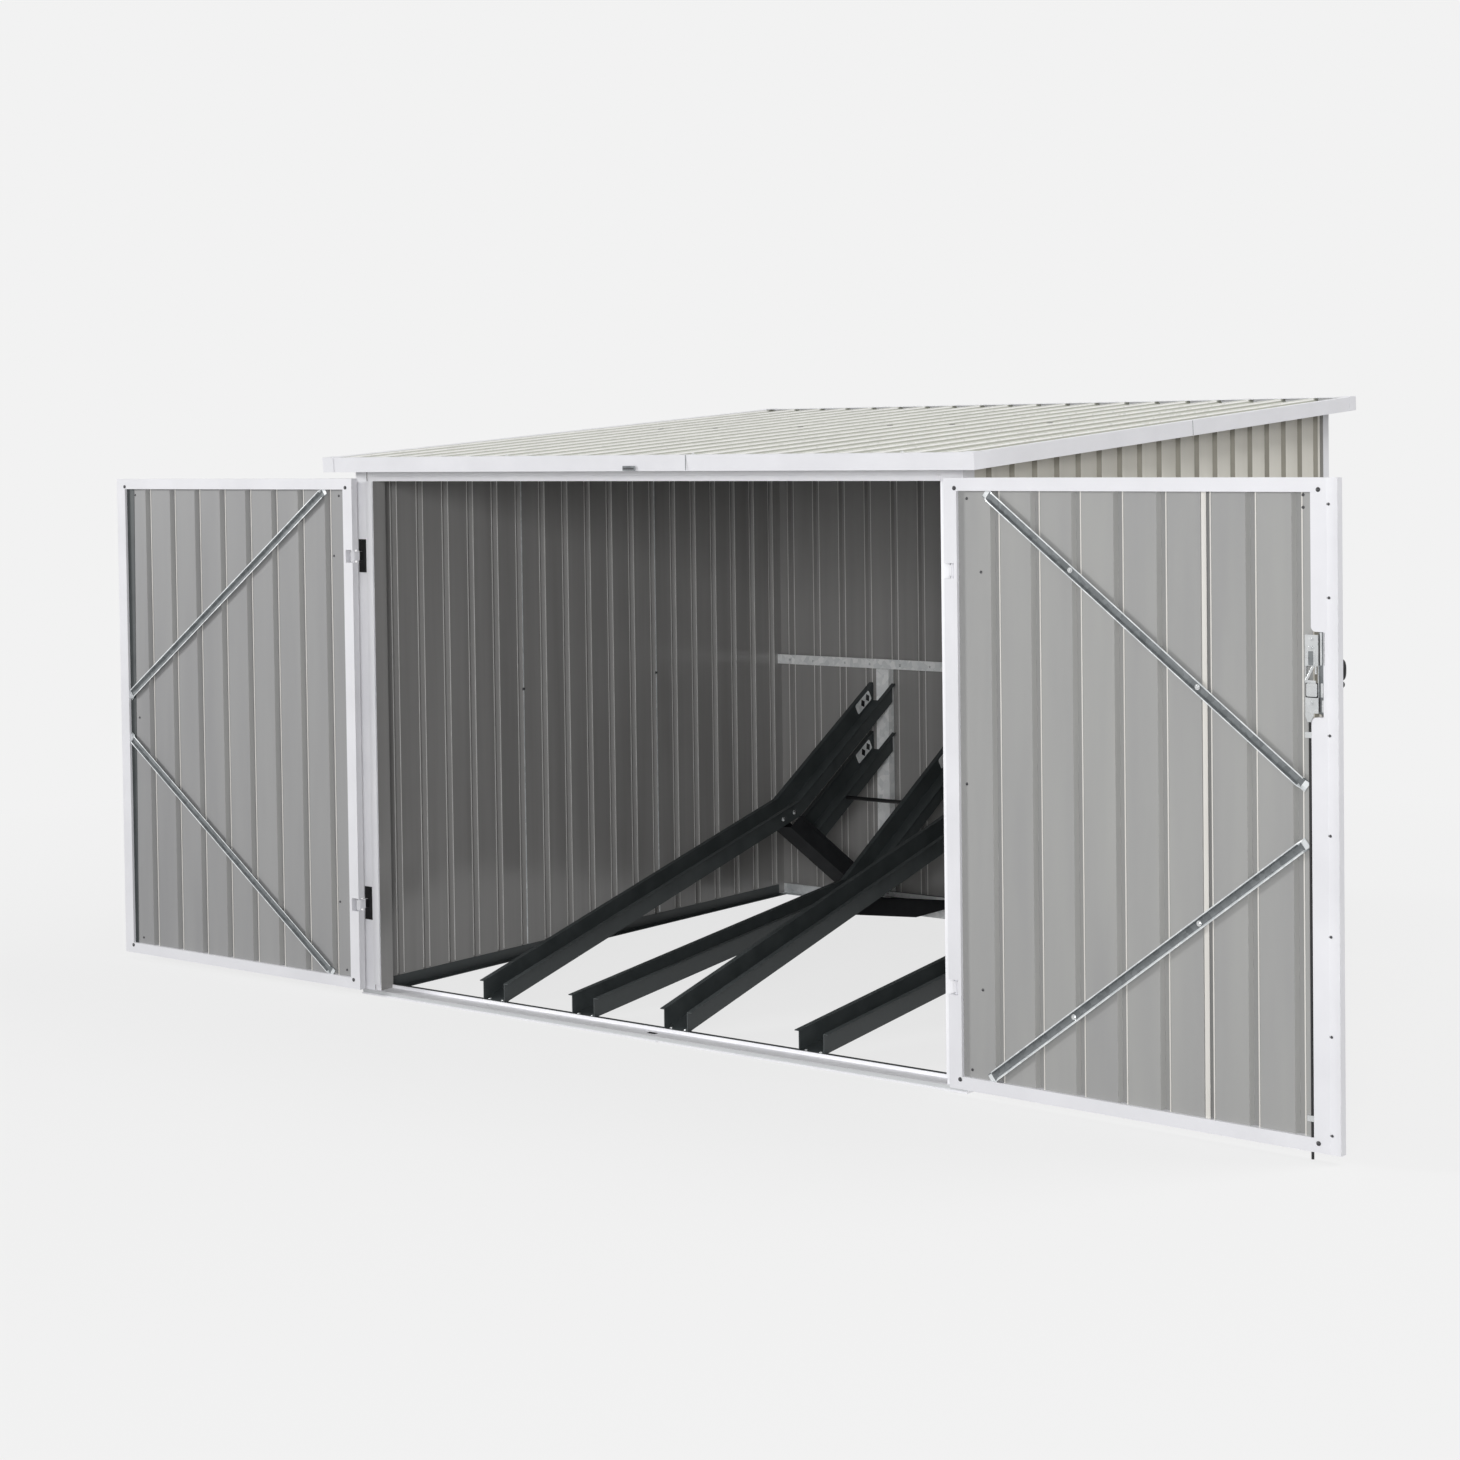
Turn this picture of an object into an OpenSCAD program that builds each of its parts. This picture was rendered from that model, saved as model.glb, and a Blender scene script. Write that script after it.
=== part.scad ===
// Bike shelter: a ribbed steel shed with a mono-pitch roof, two hinged doors and four bike rails.
// The origin is at the middle of the front sill's underside: +X to the right, +Y into the shed, +Z up.

/* [Shed] */
// Width over the walls
shed_w = 1910; // [1800:10:2100]
// Depth over the walls
shed_d = 1890; // [1800:10:2100]
// Width of a front jamb
jamb_w = 60; // [52:1:72]
// Height of the front above the opening, up to the roof's edge
header_drop = 63; // [50:1:80]

/* [Roof] */
// Height of the roof's top edge at the front
roof_front_h = 1433; // [1430:1:1500]
// Rise of the roof from its front edge to its rear edge
roof_rise = 132; // [90:1:180]
// Overhang in front of the front wall
eave_front = 57; // [40:1:80]
// Overhang behind the rear wall
eave_rear = 34; // [30:1:80]
// Overhang beyond each side wall
eave_side = 64; // [40:1:90]
// Distance from the roof's front edge to the joint between its two rows of sheets
roof_lap = 1035; // [900:5:1100]
// Distance from the roof's middle to the joint in the front and rear trim
trim_joint_x = 213; // [0:1:400]
// Height of the edge trim
fascia_h = 38; // [34:1:44]
// Sheet thickness of the edge trim
fascia_t = 1.5; // [1:0.1:2]
// Width of the edge trim's flanges
fascia_lip = 22; // [15:1:30]
// Leg length of the corner caps
cap_leg = 40; // [30:1:50]
// Sheet thickness of the corner caps
cap_t = 1.2; // [1:0.1:2]

/* [Ribbed sheet] */
// Thickness of the ribbed sheet
sheet_t = 1; // [0.8:0.1:1.4]
// Height of a rib above the pan
rib_h = 11; // [8:0.5:14]
// Width of a rib at its foot
rib_foot = 24; // [20:1:30]
// Width of a rib at its crest
rib_crest = 13; // [10:1:16]
// Distance between the ribs of walls and roof
rib_pitch = 100; // [80:1:120]
// Ribs to each sheet
ribs_per_sheet = 6; // [4:1:8]
// Distance from the front wall to the first rib of a side wall
side_rib_start = 126; // [100:1:150]
// Gap where two sheets meet
sheet_gap = 0.4; // [0.3:0.1:0.8]

/* [Frame] */
// Distance from the shed's side to the fold in a jamb's front
jamb_fold = 40; // [30:1:48]
// Depth of the step at the jambs' fold
jamb_step = 3; // [2:0.5:5]
// Leg length of the rear corner posts
post_leg = 36; // [30:1:50]
// Height of the base rails
base_h = 30; // [24:1:40]
// Width of the base rails' flange on the ground
base_flange = 30; // [24:1:34]
// Sheet thickness of the base rails
base_t = 1.5; // [1:0.1:2]
// Size of the square rails under the roof
top_rail = 25; // [20:1:30]
// Height of the girt's lower edge on the rear wall
girt_z = 744; // [720:1:800]
// Height of the girt
girt_h = 30; // [24:1:40]
// Depth of the girt
girt_d = 20; // [16:1:24]
// Wall thickness of the folded frame sections
frame_t = 2; // [1.5:0.1:3]

/* [Sill] */
// Depth of the front sill
sill_d = 58; // [50:1:70]
// Distance from the sill's front to the jambs
sill_lead = 10; // [6:1:16]
// Height of the sill's top
sill_h = 13; // [10:1:14]
// Depth and height of the sill's toe
sill_toe = 4; // [3:0.5:6]
// Height of the sill's rear upstand
sill_upstand_h = 21; // [18:1:26]
// Thickness of the sill's rear upstand
sill_upstand_t = 3; // [2:0.5:5]
// Width of the slot in the sill's top
sill_slot_w = 26; // [20:1:32]
// Depth of the slot in the sill's top
sill_slot_d = 14; // [10:1:20]
// Distance from the shed's middle to the middle of the sill's slot
sill_slot_x = 24; // [10:1:60]
// Depth of the dark rail behind the sill
front_rail_d = 30; // [24:1:36]
// Height of the dark rail behind the sill
front_rail_h = 16; // [12:1:20]

/* [Doors] */
// Height of the doors' lower edge
door_z = 18; // [18:1:24]
// Overlap of the doors over the front above the opening
door_lap = 8; // [5:1:14]
// Thickness of a door
door_t = 20; // [18:1:26]
// Distance from the hinge axis to a door's outer face
door_out = 5; // [4:0.5:8]
// Gap between a closed door and the front wall
door_gap = 11.5; // [9:0.5:14]
// Distance from the shed's side to the hinge axis
hinge_inset = 12.5; // [10:0.5:16]
// Gap between the closed doors
meeting_gap = 6; // [5:0.5:10]
// Width of the door frames' rails
door_rail = 29; // [24:1:36]
// Width of the door frames' stiles
door_stile = 34; // [28:1:40]
// Width of the right door's lock stile
lock_stile = 60; // [50:1:70]
// Width of the lock stile beside the lock
lock_stile_waist = 33; // [26:1:40]
// Distance between the ribs of a door's sheet
door_rib_pitch = 104; // [90:1:110]
// Least distance from the edge of a door's sheet to its outer ribs, before the row is moved
door_rib_edge = 60; // [40:1:80]
// How far the left door's row of ribs is moved from the sheet's middle towards the hinges
left_rib_shift = 13; // [-30:1:30]
// How far the right door's row of ribs is moved from the sheet's middle towards the hinges
right_rib_shift = -31; // [-32:1:30]
// Angle of the left door in its open position
left_open = 180; // [170:1:180]
// Angle of the right door in its open position
right_open = 178; // [170:1:180]
// Width of the flat diagonal braces
brace_w = 22; // [16:1:28]
// Thickness of the diagonal braces
brace_t = 8; // [4:0.5:8]
// Distance between the braces where they meet the free stile
brace_split = 112; // [90:1:140]
// Distance from the hinge axis to the braces' outer ends
brace_start = 90; // [60:1:120]

/* [Hinges] */
// Length of a hinge's plate on the jamb
hinge_l = 88; // [70:1:100]
// Length of a hinge's eye
hinge_eye_l = 24; // [20:1:40]
// Width of a hinge's plate on the jamb
hinge_plate_w = 26; // [20:1:30]
// Thickness of a hinge's plate
hinge_plate_t = 1.5; // [1:0.5:3]
// Radius of the hinge pin
hinge_pin_r = 4; // [3:0.5:5]
// Radius of the hinge eye
hinge_eye_r = 8; // [7:0.5:9]
// Distance from a door's lower edge to the lower hinge's middle
hinge_rise = 226; // [180:1:280]
// Distance from a door's upper edge to the upper hinge's middle
hinge_drop = 206; // [160:1:260]

/* [Lock] */
// Height of the lock case's lower edge
lock_z = 903; // [850:1:950]
// Height of the lock case
lock_h = 160; // [140:1:200]
// Width of the lock case
lock_w = 28; // [24:1:36]
// Reach of the lock case over the sheet
lock_over = 10; // [8:1:14]
// Height of the lock case over the door's inner face
lock_proud = 2; // [1:0.5:4]
// Room above and below the lock case in its stile
lock_room = 6; // [4:1:16]
// Radius of the stile's corners at the lock
lock_corner_r = 11; // [6:1:14]
// Radius of the drop rod
rod_r = 3; // [2.5:0.5:4]
// Distance from the lock stile's inner edge to the drop rod
rod_inset = 5; // [4.5:0.5:8]
// Height of the lowered drop rod above the ground
rod_tip = 2; // [1:0.5:4]
// Travel of the drop rod
rod_lift = 32; // [28:1:40]
// Reach of the lowered drop rod into the lock case
rod_engage = 20; // [15:1:40]
// Height of the rod's guides
rod_guide = 12; // [8:1:16]
// Height of the lower guide above the door's bottom rail
rod_guide_z = 32; // [20:1:60]
// Distance from the lock case down to the upper guide
rod_guide_drop = 48; // [30:1:80]
// Room between the drop rod and the sides of its notch in the sill
slot_side = 5; // [5:0.5:8]
// Length of the outside handle
handle_l = 62; // [54:1:80]
// Width of the outside handle
handle_w = 18; // [14:1:24]
// Reach of the outside handle from the door
handle_d = 22; // [18:1:30]
// Distance from the door's free edge to the middle of the handle
handle_inset = 12; // [10:1:20]

/* [Racks] */
// Middle of the first rail from the shed's middle
rail_1_x = -530; // [-600:5:-450]
// Middle of the second rail from the shed's middle
rail_2_x = -225; // [-300:5:-150]
// Middle of the third rail from the shed's middle
rail_3_x = 75; // [50:5:200]
// Middle of the fourth rail from the shed's middle
rail_4_x = 485; // [400:5:600]
// Width of the channel between its walls
channel_w = 74; // [64:1:80]
// Height of the channel
channel_h = 50; // [44:1:54]
// Width of the channel's outturned lips
channel_lip = 12; // [8:1:14]
// Sheet thickness of the channel
channel_t = 2; // [1.5:0.1:3]
// Slope of the high rails
high_slope = 14.1; // [12:0.1:16]
// Slope of the low rails
low_slope = 5.9; // [4:0.1:7]
// Slope of the wheel guides behind the rails
guide_slope = 31; // [28:0.5:34]
// Distance from the shed's rear to the rear end of the high rails
high_back = 536; // [490:1:590]
// Distance from the shed's rear to the rear end of the low rails
low_back = 625; // [590:1:690]
// Distance from the shed's rear to the foot of the lower guides
lower_guide_back = 415; // [380:1:450]
// Width of the rack posts
rack_post_w = 46; // [40:1:60]
// Depth of the rack posts
rack_post_d = 30; // [24:1:34]
// Radius of the rods between the guides
tie_r = 6; // [4:0.5:8]
// Distance from the shed's rear to the rods between the guides
tie_back = 292; // [250:1:330]
// Length of the rails' feet
rail_foot = 24; // [20:1:28]

/* [Hidden] */
$fn = 48;
fit = 0.2;
pin_fit = 0.3;
far = 3000;
cut = 1;
rib_margin = 1;

// Main planes of the shed
front_y = sill_lead - sill_d / 2;
jamb_d = sill_d - sill_lead;
rear_y = front_y + shed_d;
wall_depth = rib_h + sheet_t;
inner_x = shed_w / 2 - wall_depth;
inner_y = rear_y - wall_depth;
opening_w = shed_w - 2 * jamb_w;
opening_h = roof_front_h - header_drop;

// Roof plane: u runs up the slope from the front edge, v stands on the roof
roof_w = shed_w + 2 * eave_side;
roof_front_y = front_y - eave_front;
roof_run = shed_d + eave_front + eave_rear;
roof_slope = atan2(roof_rise, roof_run);
roof_len = roof_run / cos(roof_slope);
roof_edge_x = roof_w / 2 - fascia_t - fit;
pan_v = -fascia_t - rib_h - sheet_t;

// Folded rib: inner corners are set back so that the sheet keeps its thickness
rib_angle = atan2(rib_h, (rib_foot - rib_crest) / 2);
rib_back = sheet_t * tan(rib_angle / 2);
sheet_cover = rib_pitch * ribs_per_sheet;

// Doors, in a frame on the hinge axis with +X to the free edge and +Y into the shed
door_in = door_t - door_out;
hinge_x = shed_w / 2 - hinge_inset;
hinge_y = front_y - door_gap - door_in;
hinge_reach = hinge_inset;
sheet_y = wall_depth - door_out;
door_top = opening_h + door_lap;
door_h = door_top - door_z;
hinge_low = door_z + hinge_rise;
hinge_high = door_top - hinge_drop;
free_edge = hinge_x - meeting_gap / 2;
rod_x = free_edge - lock_stile - rod_inset;
rod_y = (sheet_y + door_in) / 2;
swing_gap = 5;
hinge_notch_x = hinge_eye_r + swing_gap;
hinge_notch_h = hinge_eye_l + 2 * swing_gap;

// Racks
rack_post_y = inner_y - rack_post_d;
rail_front_y = front_y + jamb_d + fit;
rail_foot_z = front_rail_h + channel_t;
rail_x = [rail_1_x, rail_2_x, rail_3_x, rail_4_x];
rail_high = [true, false, true, false];
beam_y = rack_post_y - channel_w - 2 * channel_lip;
tie_y = rear_y - tie_back;

paint_white = "#e9e9ee";
paint_cream = "#b9b5ad";
paint_dark = "#2c3132";
zinc = "#c3c7c9";
black = "#1b1b1c";

// Outline of a ribbed sheet: pan on y = 0, ribs towards +Y at the given places
function ribbed_outline(run, ribs) = concat(
    [[0, sheet_t]],
    [for (c = ribs) each [
        [c - rib_foot / 2, sheet_t], [c - rib_crest / 2, wall_depth],
        [c + rib_crest / 2, wall_depth], [c + rib_foot / 2, sheet_t]]],
    [[run, sheet_t], [run, 0]],
    [for (i = [len(ribs) - 1:-1:0]) let (c = ribs[i]) each [
        [c + rib_foot / 2 - rib_back, 0], [c + rib_crest / 2 - rib_back, rib_h],
        [c - rib_crest / 2 + rib_back, rib_h], [c - rib_foot / 2 + rib_back, 0]]],
    [[0, 0]]
);

// Places of a run's ribs from the first one on, all clear of the run's end
function rib_row(first, run) = [for (c = first; c <= run - rib_foot / 2 - rib_margin; c = c + rib_pitch) c];

// First rib of a run that has a rib at its middle
function middle_first(run) = run / 2 - rib_pitch * floor((run / 2 - rib_foot / 2 - rib_margin) / rib_pitch);

// First rib of a run's sheet: whole sheets follow each other, and the last one is laid from the run's end
function sheet_first(sheet, ribs) = max(0, min(sheet * ribs_per_sheet, len(ribs) - ribs_per_sheet + 1));

// A run of ribbed sheets, split behind every sheet's last rib
module sheet_run(run, height, ribs) {
    sheets = max(1, round(len(ribs) / ribs_per_sheet));
    for (s = [0:sheets - 1]) {
        first = s == 0 ? 0 : sheet_first(s, ribs);
        last = (s == sheets - 1 ? len(ribs) : sheet_first(s + 1, ribs)) - 1;
        from = s == 0 ? 0 : ribs[first - 1] + rib_foot / 2 + sheet_gap;
        to = s == sheets - 1 ? run : ribs[last] + rib_foot / 2;
        translate([from, 0, 0])
            linear_extrude(height)
                polygon(ribbed_outline(to - from, [for (i = [first:last]) ribs[i] - from]));
    }
}

module on_roof() {
    translate([0, roof_front_y, roof_front_h])
        rotate([roof_slope, 0, 0])
            children();
}

// What reaches up to the roof is cut off along the underside of the roof sheets
module under_roof() {
    difference() {
        children();
        on_roof()
            translate([-far / 2, -far / 4, pan_v - fit])
                cube([far, far, far]);
    }
}

// Frame

// Low sill under the jambs with an upstand between them, a slot in its top and a notch for the drop rod
module front_sill() {
    sill_y = front_y - sill_lead;
    notch_end = hinge_y + rod_y + rod_r + slot_side;
    color(zinc)
        difference() {
            union() {
                translate([-shed_w / 2, sill_y, 0])
                    rotate([90, 0, 90])
                        linear_extrude(shed_w)
                            polygon([
                                [0, 0], [0, sill_toe], [sill_toe, sill_toe], [sill_toe, sill_h],
                                [sill_d, sill_h], [sill_d, 0]
                            ]);
                translate([-opening_w / 2, sill_y + sill_d - sill_upstand_t, 0])
                    cube([opening_w, sill_upstand_t, sill_upstand_h]);
            }
            translate([hinge_x - rod_x - rod_r - slot_side, sill_y - cut, -cut])
                cube([2 * (rod_r + slot_side), cut + notch_end - sill_y, sill_h + 2 * cut]);
            translate([sill_slot_x - sill_slot_w / 2, sill_y + sill_d / 2 - sill_slot_d / 2, -cut])
                cube([sill_slot_w, sill_slot_d, sill_h + 2 * cut]);
        }
}

module front_base_rail() {
    color(paint_dark)
        translate([-inner_x + base_flange + fit, rail_front_y, 0])
            difference() {
                cube([2 * (inner_x - base_flange - fit), front_rail_d, front_rail_h]);
                translate([-cut, base_t, -cut])
                    cube([2 * inner_x, front_rail_d, front_rail_h - base_t + cut]);
            }
}

module side_base_rails() {
    run = shed_d - jamb_d - wall_depth - base_flange - fit;
    color(paint_dark)
        for (side = [0, 1])
            mirror([side, 0, 0])
                translate([-inner_x, front_y + jamb_d, 0]) {
                    cube([base_flange, run, base_t]);
                    cube([base_t, run, base_h]);
                }
}

module rear_base_rail() {
    color(zinc)
        translate([-inner_x + fit, inner_y, 0]) {
            translate([0, -base_flange, 0])
                cube([2 * (inner_x - fit), base_flange, base_t]);
            translate([0, -base_t, 0])
                cube([2 * (inner_x - fit), base_t, base_h]);
        }
}

// Folded box section on the sill, its front stepped back beside the opening
module jamb() {
    width = jamb_w - fit;
    color(paint_white)
        under_roof()
            translate([-shed_w / 2, front_y, sill_h])
                linear_extrude(roof_front_h + roof_rise - sill_h)
                    difference() {
                        polygon([
                            [0, 0], [jamb_fold, 0], [jamb_fold, jamb_step], [width, jamb_step],
                            [width, jamb_d], [0, jamb_d]
                        ]);
                        translate([frame_t, jamb_step + frame_t])
                            square([width - 2 * frame_t, jamb_d - jamb_step - 2 * frame_t]);
                    }
}

module left_jamb() {
    jamb();
}

module right_jamb() {
    mirror([1, 0, 0])
        jamb();
}

module rear_posts() {
    color(paint_white)
        for (side = [0, 1])
            mirror([side, 0, 0])
                under_roof()
                    translate([-shed_w / 2, rear_y, 0])
                        linear_extrude(roof_front_h + roof_rise)
                            polygon([
                                [0, 0], [0, -post_leg], [wall_depth, -post_leg], [wall_depth, -wall_depth],
                                [post_leg, -wall_depth], [post_leg, 0]
                            ]);
}

module door_header() {
    color(paint_white)
        under_roof()
            translate([-opening_w / 2, front_y + jamb_step, opening_h])
                cube([opening_w, jamb_d - jamb_step, roof_front_h + roof_rise - opening_h]);
}

module side_top_rails() {
    start = eave_front + jamb_d + top_rail;
    end = eave_front + shed_d - wall_depth - 2 * top_rail;
    color(zinc)
        for (side = [0, 1])
            mirror([side, 0, 0])
                on_roof()
                    translate([-inner_x, start, pan_v - top_rail])
                        cube([top_rail, end - start, top_rail]);
}

module rear_top_rail() {
    color(zinc)
        under_roof()
            difference() {
                translate([-inner_x + fit, inner_y - top_rail, 0])
                    cube([2 * (inner_x - fit), top_rail, roof_front_h + roof_rise]);
                on_roof()
                    translate([-far / 2, -far / 4, pan_v - top_rail - far])
                        cube([far, 2 * far, far]);
            }
}

module roof_purlin() {
    color(zinc)
        on_roof()
            translate([-inner_x + top_rail, roof_lap - top_rail, pan_v - top_rail])
                cube([2 * (inner_x - top_rail), 2 * top_rail, top_rail]);
}

// Walls and roof

module side_wall() {
    run = shed_d - jamb_d - post_leg;
    color(paint_cream)
        under_roof()
            translate([-inner_x, front_y + jamb_d, 0])
                rotate([0, 0, 90])
                    sheet_run(run, roof_front_h + roof_rise, rib_row(side_rib_start - jamb_d, run));
}

module left_wall() {
    side_wall();
}

module right_wall() {
    mirror([1, 0, 0])
        side_wall();
}

module rear_wall() {
    run = shed_w - 2 * post_leg;
    color(paint_cream)
        under_roof()
            translate([-run / 2, inner_y, 0])
                sheet_run(run, roof_front_h + roof_rise, rib_row(middle_first(run), run));
}

module rear_girt() {
    color(zinc)
        translate([-inner_x, inner_y - girt_d, girt_z]) {
            cube([2 * inner_x, frame_t, girt_h]);
            cube([2 * inner_x, girt_d, frame_t]);
        }
}

// One row of roof sheets between two places up the slope
module roof_row(from, to) {
    run = 2 * roof_edge_x;
    color(paint_cream)
        on_roof()
            translate([-roof_edge_x, to, pan_v])
                rotate([90, 0, 0])
                    sheet_run(run, to - from, rib_row(middle_first(run), run));
}

module roof_front_sheets() {
    roof_row(fascia_t + fit, roof_lap - sheet_gap / 2);
}

module roof_rear_sheets() {
    roof_row(roof_lap + sheet_gap / 2, roof_len - fascia_t - fit);
}

// One length of edge trim along +X: web on y = 0, flanges towards +Y
module trim_length(from, to) {
    translate([from, 0, -fascia_h]) {
        cube([to - from, fascia_t, fascia_h]);
        cube([to - from, fascia_lip, fascia_t]);
        translate([0, 0, fascia_h - fascia_t])
            cube([to - from, fascia_lip, fascia_t]);
    }
}

// Edge trim from the origin in two lengths that meet at the given joint
module trim(run, joint) {
    trim_length(0, joint - sheet_gap / 2);
    trim_length(joint + sheet_gap / 2, run);
}

module front_fascia() {
    color(paint_white)
        on_roof()
            translate([-roof_w / 2, 0, 0])
                trim(roof_w, roof_w / 2 + trim_joint_x);
}

module rear_fascia() {
    color(paint_white)
        on_roof()
            translate([roof_w / 2, roof_len, 0])
                rotate([0, 0, 180])
                    trim(roof_w, roof_w / 2 + trim_joint_x);
}

module side_fascia() {
    run = roof_len - 2 * (fascia_lip + fit);
    color(paint_white)
        on_roof()
            translate([-roof_w / 2, fascia_lip + fit + run, 0])
                rotate([0, 0, -90])
                    trim(run, fascia_lip + fit + run - roof_lap);
}

module left_fascia() {
    side_fascia();
}

module right_fascia() {
    mirror([1, 0, 0])
        side_fascia();
}

module corner_cap() {
    difference() {
        translate([-cap_t, -cap_t, -fascia_h])
            cube([cap_leg, cap_leg, fascia_h + cap_t]);
        translate([0, 0, -fascia_h - cut])
            cube([cap_leg, cap_leg, fascia_h + cut]);
    }
}

module roof_corner_caps() {
    color(paint_white)
        on_roof()
            for (side = [0, 1], end = [0, 1])
                mirror([side, 0, 0])
                    translate([-roof_w / 2, end * roof_len, 0])
                        mirror([0, end, 0])
                            corner_cap();
}

// Bike racks

// Cross-section of the open channel: web on y = 0, lips at the top
module channel_outline() {
    half = channel_w / 2;
    polygon([
        [-half, 0], [half, 0], [half, channel_h - channel_t], [half + channel_lip, channel_h - channel_t],
        [half + channel_lip, channel_h], [half - channel_t, channel_h], [half - channel_t, channel_t],
        [channel_t - half, channel_t], [channel_t - half, channel_h], [-half - channel_lip, channel_h],
        [-half - channel_lip, channel_h - channel_t], [-half, channel_h - channel_t]
    ]);
}

// A channel that starts at the origin and runs towards +Y, rising at the given slope
module channel(run, slope) {
    rotate([slope, 0, 0])
        translate([0, run, 0])
            rotate([90, 0, 0])
                linear_extrude(run)
                    channel_outline();
}

function rail_slope(i) = rail_high[i] ? high_slope : low_slope;
function rail_end_y(i) = rear_y - (rail_high[i] ? high_back : low_back);
function rail_end_z(i) = rail_foot_z + (rail_end_y(i) - rail_front_y) * tan(rail_slope(i));
function miter(i) = (rail_slope(i) + guide_slope) / 2;

// Cuts away what lies behind a tilted plane through a point of a rack's side view
module cut_behind(y, z, tilt) {
    translate([0, y, z])
        rotate([tilt, 0, 0])
            translate([-far / 2, 0, -far / 2])
                cube([far, far, far]);
}

// A rail on its wedge-shaped foot, cut upright at the front and mitred to its guide at the rear
module rail(i) {
    start = rail_front_y - channel_h;
    run = (rail_end_y(i) - start) / cos(rail_slope(i)) + channel_h;
    rise = tan(rail_slope(i));
    foot_top = channel_t + channel_t / 2;
    color(paint_dark)
        difference() {
            translate([rail_x[i], start, rail_foot_z - channel_h * rise])
                channel(run, rail_slope(i));
            cut_behind(rail_end_y(i) - fit, rail_end_z(i), miter(i));
            translate([-far / 2, rail_front_y - far, -far / 2])
                cube([far, far, far]);
        }
    color(paint_dark)
        translate([rail_x[i] - channel_w / 2 + channel_t, rail_front_y + fit, front_rail_h])
            rotate([90, 0, 90])
                linear_extrude(channel_w - 2 * channel_t)
                    polygon([
                        [0, 0], [rail_foot / 2, 0], [rail_foot, foot_top + rail_foot * rise], [0, foot_top]
                    ]);
}

module rail_1() {
    rail(0);
}

module rail_2() {
    rail(1);
}

module rail_3() {
    rail(2);
}

module rail_4() {
    rail(3);
}

// A wheel guide from a point of the side view up to the front of its rack post
module guide(i, y, z) {
    run = (rack_post_y - y) / cos(guide_slope) + 2 * channel_h;
    difference() {
        translate([rail_x[i], y, z])
            rotate([guide_slope, 0, 0])
                translate([0, -channel_h, 0])
                    rotate([-guide_slope, 0, 0])
                        channel(run + channel_h, guide_slope);
        translate([-far / 2, rack_post_y, -far / 2])
            cube([far, far, far]);
        children();
    }
}

module upper_guides() {
    color(paint_dark)
        for (i = [0:3])
            guide(i, rail_end_y(i), rail_end_z(i))
                translate([0, rail_end_y(i), rail_end_z(i)])
                    rotate([miter(i), 0, 0])
                        translate([-far / 2, -far, -far / 2])
                            cube([far, far, far]);
}

// Legs drop from the rails' rear ends to the floor beam
leg_foot_y = beam_y + channel_w / 2 + channel_lip;
function leg_slope(i) = atan2(rail_end_z(i) - channel_h, leg_foot_y - rail_end_y(i));

module leg(i) {
    drop = leg_slope(i);
    run = far / 3;
    difference() {
        translate([rail_x[i], rail_end_y(i), rail_end_z(i)])
            rotate([-drop, 0, 0])
                translate([0, -channel_h, -channel_h])
                    rotate([drop, 0, 0])
                        channel(run, -drop);
        translate([-far / 2, -far / 4, channel_h - far])
            cube([far, far, far]);
        translate([-far / 2, rack_post_y - fit, -far / 2])
            cube([far, far, far]);
        translate([rail_x[i], rail_end_y(i), rail_end_z(i) - fit])
            rotate([rail_slope(i), 0, 0])
                translate([-far / 2, -far, 0])
                    cube([far, far, far]);
        translate([rail_x[i], rail_end_y(i), rail_end_z(i) - fit])
            rotate([guide_slope, 0, 0])
                translate([-far / 2, -far / 4, 0])
                    cube([far, far, far]);
    }
}

module rack_legs() {
    color(paint_dark)
        for (i = [0:3])
            leg(i);
}

// The high rails' lower guides start on the lips of their legs
module lower_guides() {
    color(paint_dark)
        for (i = [0, 2]) {
            drop = leg_slope(i);
            y = rear_y - lower_guide_back;
            z = rail_end_z(i) - (y - rail_end_y(i)) * tan(drop);
            guide(i, y, z)
                translate([0, y, z])
                    rotate([-drop, 0, 0])
                        translate([-far / 2, -far / 2, -far])
                            cube([far, far, far]);
        }
}

module rack_posts() {
    color(zinc)
        for (x = rail_x)
            translate([x - rack_post_w / 2, rack_post_y, base_t])
                difference() {
                    cube([rack_post_w, rack_post_d - base_t, girt_z - base_t]);
                    translate([frame_t, frame_t, -cut])
                        cube([rack_post_w - 2 * frame_t, rack_post_d, girt_z]);
                }
}

module rack_floor_beam() {
    lead = rail_x[3] - rail_x[0] + channel_w;
    color(paint_dark)
        translate([rail_x[0] - channel_w / 2, beam_y + channel_w / 2 + channel_lip, 0])
            rotate([90, 0, 90])
                linear_extrude(lead)
                    channel_outline();
}

module rack_ties() {
    color(black)
        for (i = [0, 2])
            translate([rail_x[i] + channel_w / 2, tie_y, tie_z(i)])
                rotate([0, 90, 0])
                    cylinder(r = tie_r, h = rail_x[i + 1] - rail_x[i] - channel_w);
}

function tie_z(i) = rail_end_z(i + 1) + (tie_y - rail_end_y(i + 1)) * tan(guide_slope)
    + channel_h / 2 / cos(guide_slope);

// Doors

module left_hung(angle) {
    translate([-hinge_x, hinge_y, 0])
        rotate([0, 0, -angle])
            children();
}

module right_hung(angle) {
    mirror([1, 0, 0])
        left_hung(angle)
            children();
}

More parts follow.
